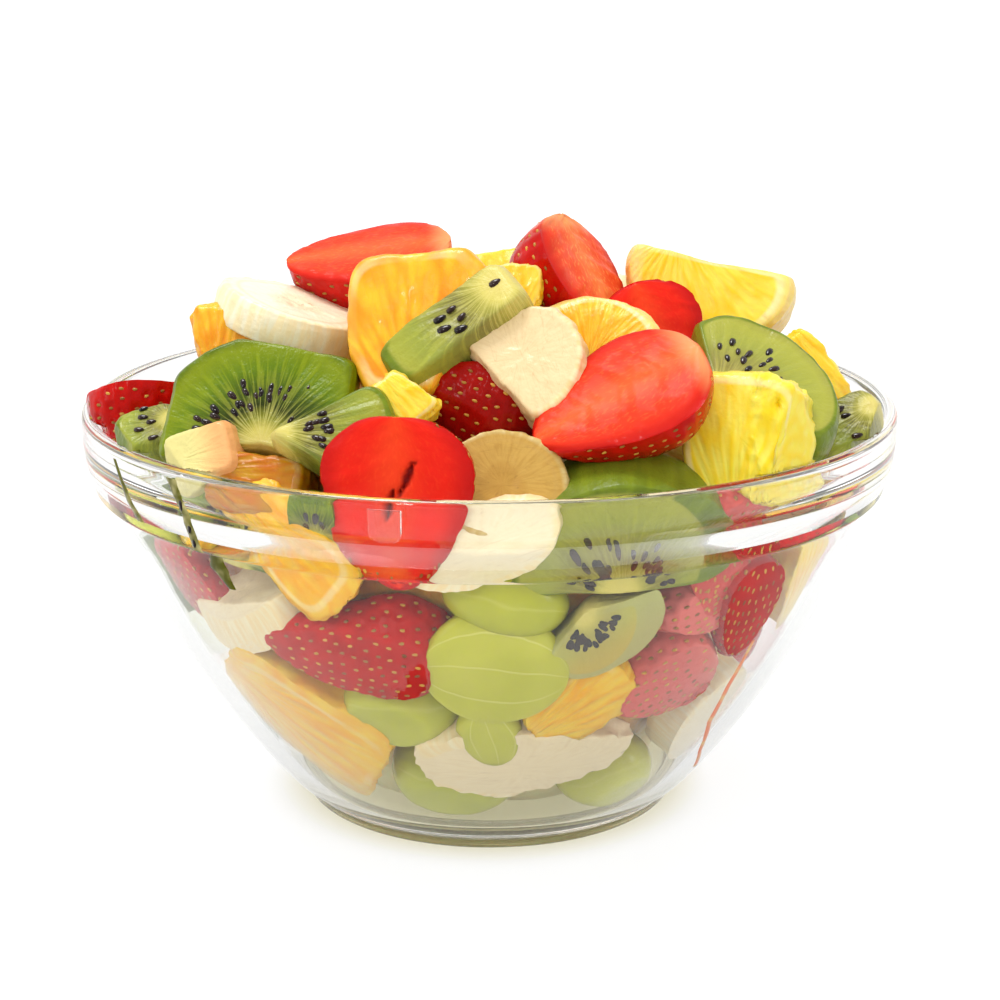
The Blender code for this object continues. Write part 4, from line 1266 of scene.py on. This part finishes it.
def build_drip(name, route, widths, material, seeds=()):
    """Thin run of juice down the outside of the glass: route in degrees and heights."""
    corners = range(len(route))
    stops = np.linspace(0, len(route) - 1, 60)
    angles = np.radians(np.interp(stops, corners, [place[0] for place in route]))
    heights = np.interp(stops, corners, [place[1] for place in route])
    uneven = 1 + 0.18 * noise(columns(heights, heights, heights), 2.5, 3)
    halves = np.interp(stops, corners, widths) / 2 * uneven
    turn = np.linspace(0, math.tau, 12, endpoint=False)
    rings = []
    for angle, height, half in zip(angles, heights, halves):
        radius = outside_radius(height) + 0.03 + DRIP_LIFT * np.maximum(np.sin(turn), 0.0)
        spread = angle + half * np.cos(turn) / radius
        rings.append(circle(radius, spread, height))
    solid = Solid(*closed_skin([rings[0].mean(0)[None]] + rings + [rings[-1].mean(0)[None]]))
    for angle, height, lean in seeds:
        radius = float(outside_radius(height)) + 0.2
        x, y = math.cos(math.radians(angle)), math.sin(math.radians(angle))
        matrix = stance((radius * x, radius * y, height), (x, y, 0), (lean * y, -lean * x, 1))
        solid.join(Solid(*small_seed(DRIP_SEED_RADII, matrix, 6, 9), slot=1, tone=0.3))
    drip = add_mesh(name, solid, [material, kiwi_seed_look()])
    drip.visible_glossy = False
    drip.visible_transmission = False
    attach(drip, ROOT)


def build_juice():
    """Shallow juice on the floor of the bowl, which reaches just into the glass."""
    low, high = FLOOR_Z - JUICE_OVERLAP, FLOOR_Z + 1.6
    heights = np.linspace(low, high, 8)
    side = [(float(inside_radius(height)) + JUICE_OVERLAP, float(height)) for height in heights]
    solid = Solid(*turned([(0.0, low)] + side + [(0.0, high)]))
    look = Look("pooled_juice", Roughness=0.2, IOR=1.36, Transmission_Weight=0.9, Base_Color=(251, 248, 230))
    juice = add_mesh("juice_pool", solid, [look.material])
    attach(juice, ROOT)


# ---- Floor, light and camera ----

def build_stage():
    """Pale floor that shines evenly, a little darker in reflections, with a painted shadow, darker and
    tinted, under the foot.
    """
    side = 6.0
    mesh = bpy.data.meshes.new("floor")
    corners = [(-side, -side, 0), (side, -side, 0), (side, side, 0), (-side, side, 0)]
    mesh.from_pydata(corners, [], [(0, 1, 2, 3)])
    floor = bpy.data.objects.new("floor", mesh)
    bpy.context.scene.collection.objects.link(floor)
    look = Look("pale_floor", Base_Color=(0.22, 0.22, 0.22, 1.0), Roughness=0.6, Specular_IOR_Level=0.2)
    x, y, _ = look.parts(look.place())
    away = (x * x + y * y) ** 0.5
    # Painted shadow: under the foot the floor shines in a darker, tinted colour instead of white.
    clear_of_painted_shadow = away.step(0.9 * FOOT_RADIUS * MM, 1.25 * FOOT_RADIUS * MM)
    look.shine("Emission Color", look.mix(clear_of_painted_shadow, (226, 220, 190), (255, 255, 255)))
    look.shine("Emission Strength", 0.84 - look.path("Glossy Depth").at_most(1.0) * 0.1)
    mesh.materials.append(look.material)
    floor.visible_diffuse = False
    floor.visible_glossy = False


def add_lamp(name, kind, energy, place, aim, **settings):
    data = bpy.data.lights.new(name, kind)
    data.energy = energy
    for key, value in settings.items():
        setattr(data, key, value)
    lamp = bpy.data.objects.new(name, data)
    lamp.location = place
    lamp.rotation_euler = (Vector(aim) - Vector(place)).to_track_quat("-Z", "Y").to_euler()
    bpy.context.scene.collection.objects.link(lamp)


def build_light():
    """White surroundings: darker from the front in reflections, and softer from below on matt surfaces."""
    world = bpy.data.worlds.new("studio")
    bpy.context.scene.world = world
    world.use_nodes = True
    studio = Nodes(world.node_tree)
    shade = studio.tree.nodes["Background"]
    _, y, z = studio.parts(studio.place("Generated"))
    seen = y.line(-0.9, 0.1, 0.42, 1.06)
    below = z.line(-0.95, -0.35, 0.25, 1.0)
    front = y.line(-0.8, 0.4, 0.12, 1.06)
    top = z.line(0.2, 0.8, 1.0, 0.5)
    above = z.line(-1.0, 1.0, 0.55, 0.85)
    ahead = y.line(-1.0, 0.3, 0.42, 0.0)
    soft = (above + ahead) * (1.0 + studio.path("Is Transmission Ray") * 1.1)
    clear = studio.either(studio.path("Glossy Depth"), seen, front * below * top)
    shade.inputs["Color"].default_value = (1, 1, 1, 1)
    studio.feed(shade.inputs["Strength"], studio.either(studio.path("Diffuse Depth"), clear, soft))
    add_lamp("overhead", "SUN", 1.6, (-0.25, 0.12, 1.0), (0, 0, 0), angle=math.radians(24))
    add_lamp("small_lamp", "AREA", 0.6, (-0.35, -0.75, 0.8), (0, 0, 0.08), shape="DISK", size=0.07)
    add_lamp("left_softbox", "AREA", 0.6, (-0.9, -0.55, 0.45), (0, 0, 0.07), shape="RECTANGLE",
             size=0.2, size_y=0.35)
    add_lamp("right_softbox", "AREA", 0.5, (0.9, -0.45, 0.42), (0, 0, 0.07), shape="RECTANGLE",
             size=0.2, size_y=0.3)


def build_camera():
    data = bpy.data.cameras.new("camera")
    data.sensor_width = SENSOR
    data.lens = LENS
    data.shift_x = LENS_SHIFT
    data.clip_start = 0.01
    camera = bpy.data.objects.new("camera", data)
    camera.location = CAMERA_PLACE
    camera.rotation_euler = (math.radians(90 - CAMERA_TILT), 0.0, 0.0)
    bpy.context.scene.collection.objects.link(camera)
    bpy.context.scene.camera = camera


def main():
    looks = {
        "strawberry": [strawberry_look(), strawberry_seed_look()],
        "kiwi": [kiwi_look(), kiwi_seed_look()],
        "banana": [banana_look()],
        "orange": [orange_look()],
        "grape": [grape_look()],
    }
    build_bowl()
    build_lug()
    build_fruit(looks)
    build_heap(looks)
    build_core()
    build_juice()
    green = juice_look("green_juice", (88, 88, 16))
    build_drip("juice_run_left", ((212.2, 88.6), (214.1, 84.7), (217.2, 77)), (1.2, 1.8, 3.0), green)
    build_drip("juice_run_band", ((226, 89), (228.6, 82), (229.1, 75.2), (229.6, 70), (231.5, 66)),
               (3.2, 2.2, 2.6, 4.6, 2.0), green,
               ((227.9, 84, 0.2), (228.9, 79.6, -0.1), (229.0, 76.5, 0.1)))
    red = juice_look("red_juice", (240, 150, 118))
    build_drip("juice_run_right", ((314.6, 52), (314.0, 40.6), (315.0, 31), (320.3, 21), (327, 14)),
               (0.8, 1.5, 1.7, 1.3, 1.6), red)
    build_stage()
    build_light()
    build_camera()
    bpy.context.scene.view_settings.view_transform = "Standard"
    paths = bpy.context.scene.cycles
    paths.max_bounces = 16
    paths.transmission_bounces = 16
    paths.glossy_bounces = 16
    paths.diffuse_bounces = 2
    paths.adaptive_threshold = 0.03


main()
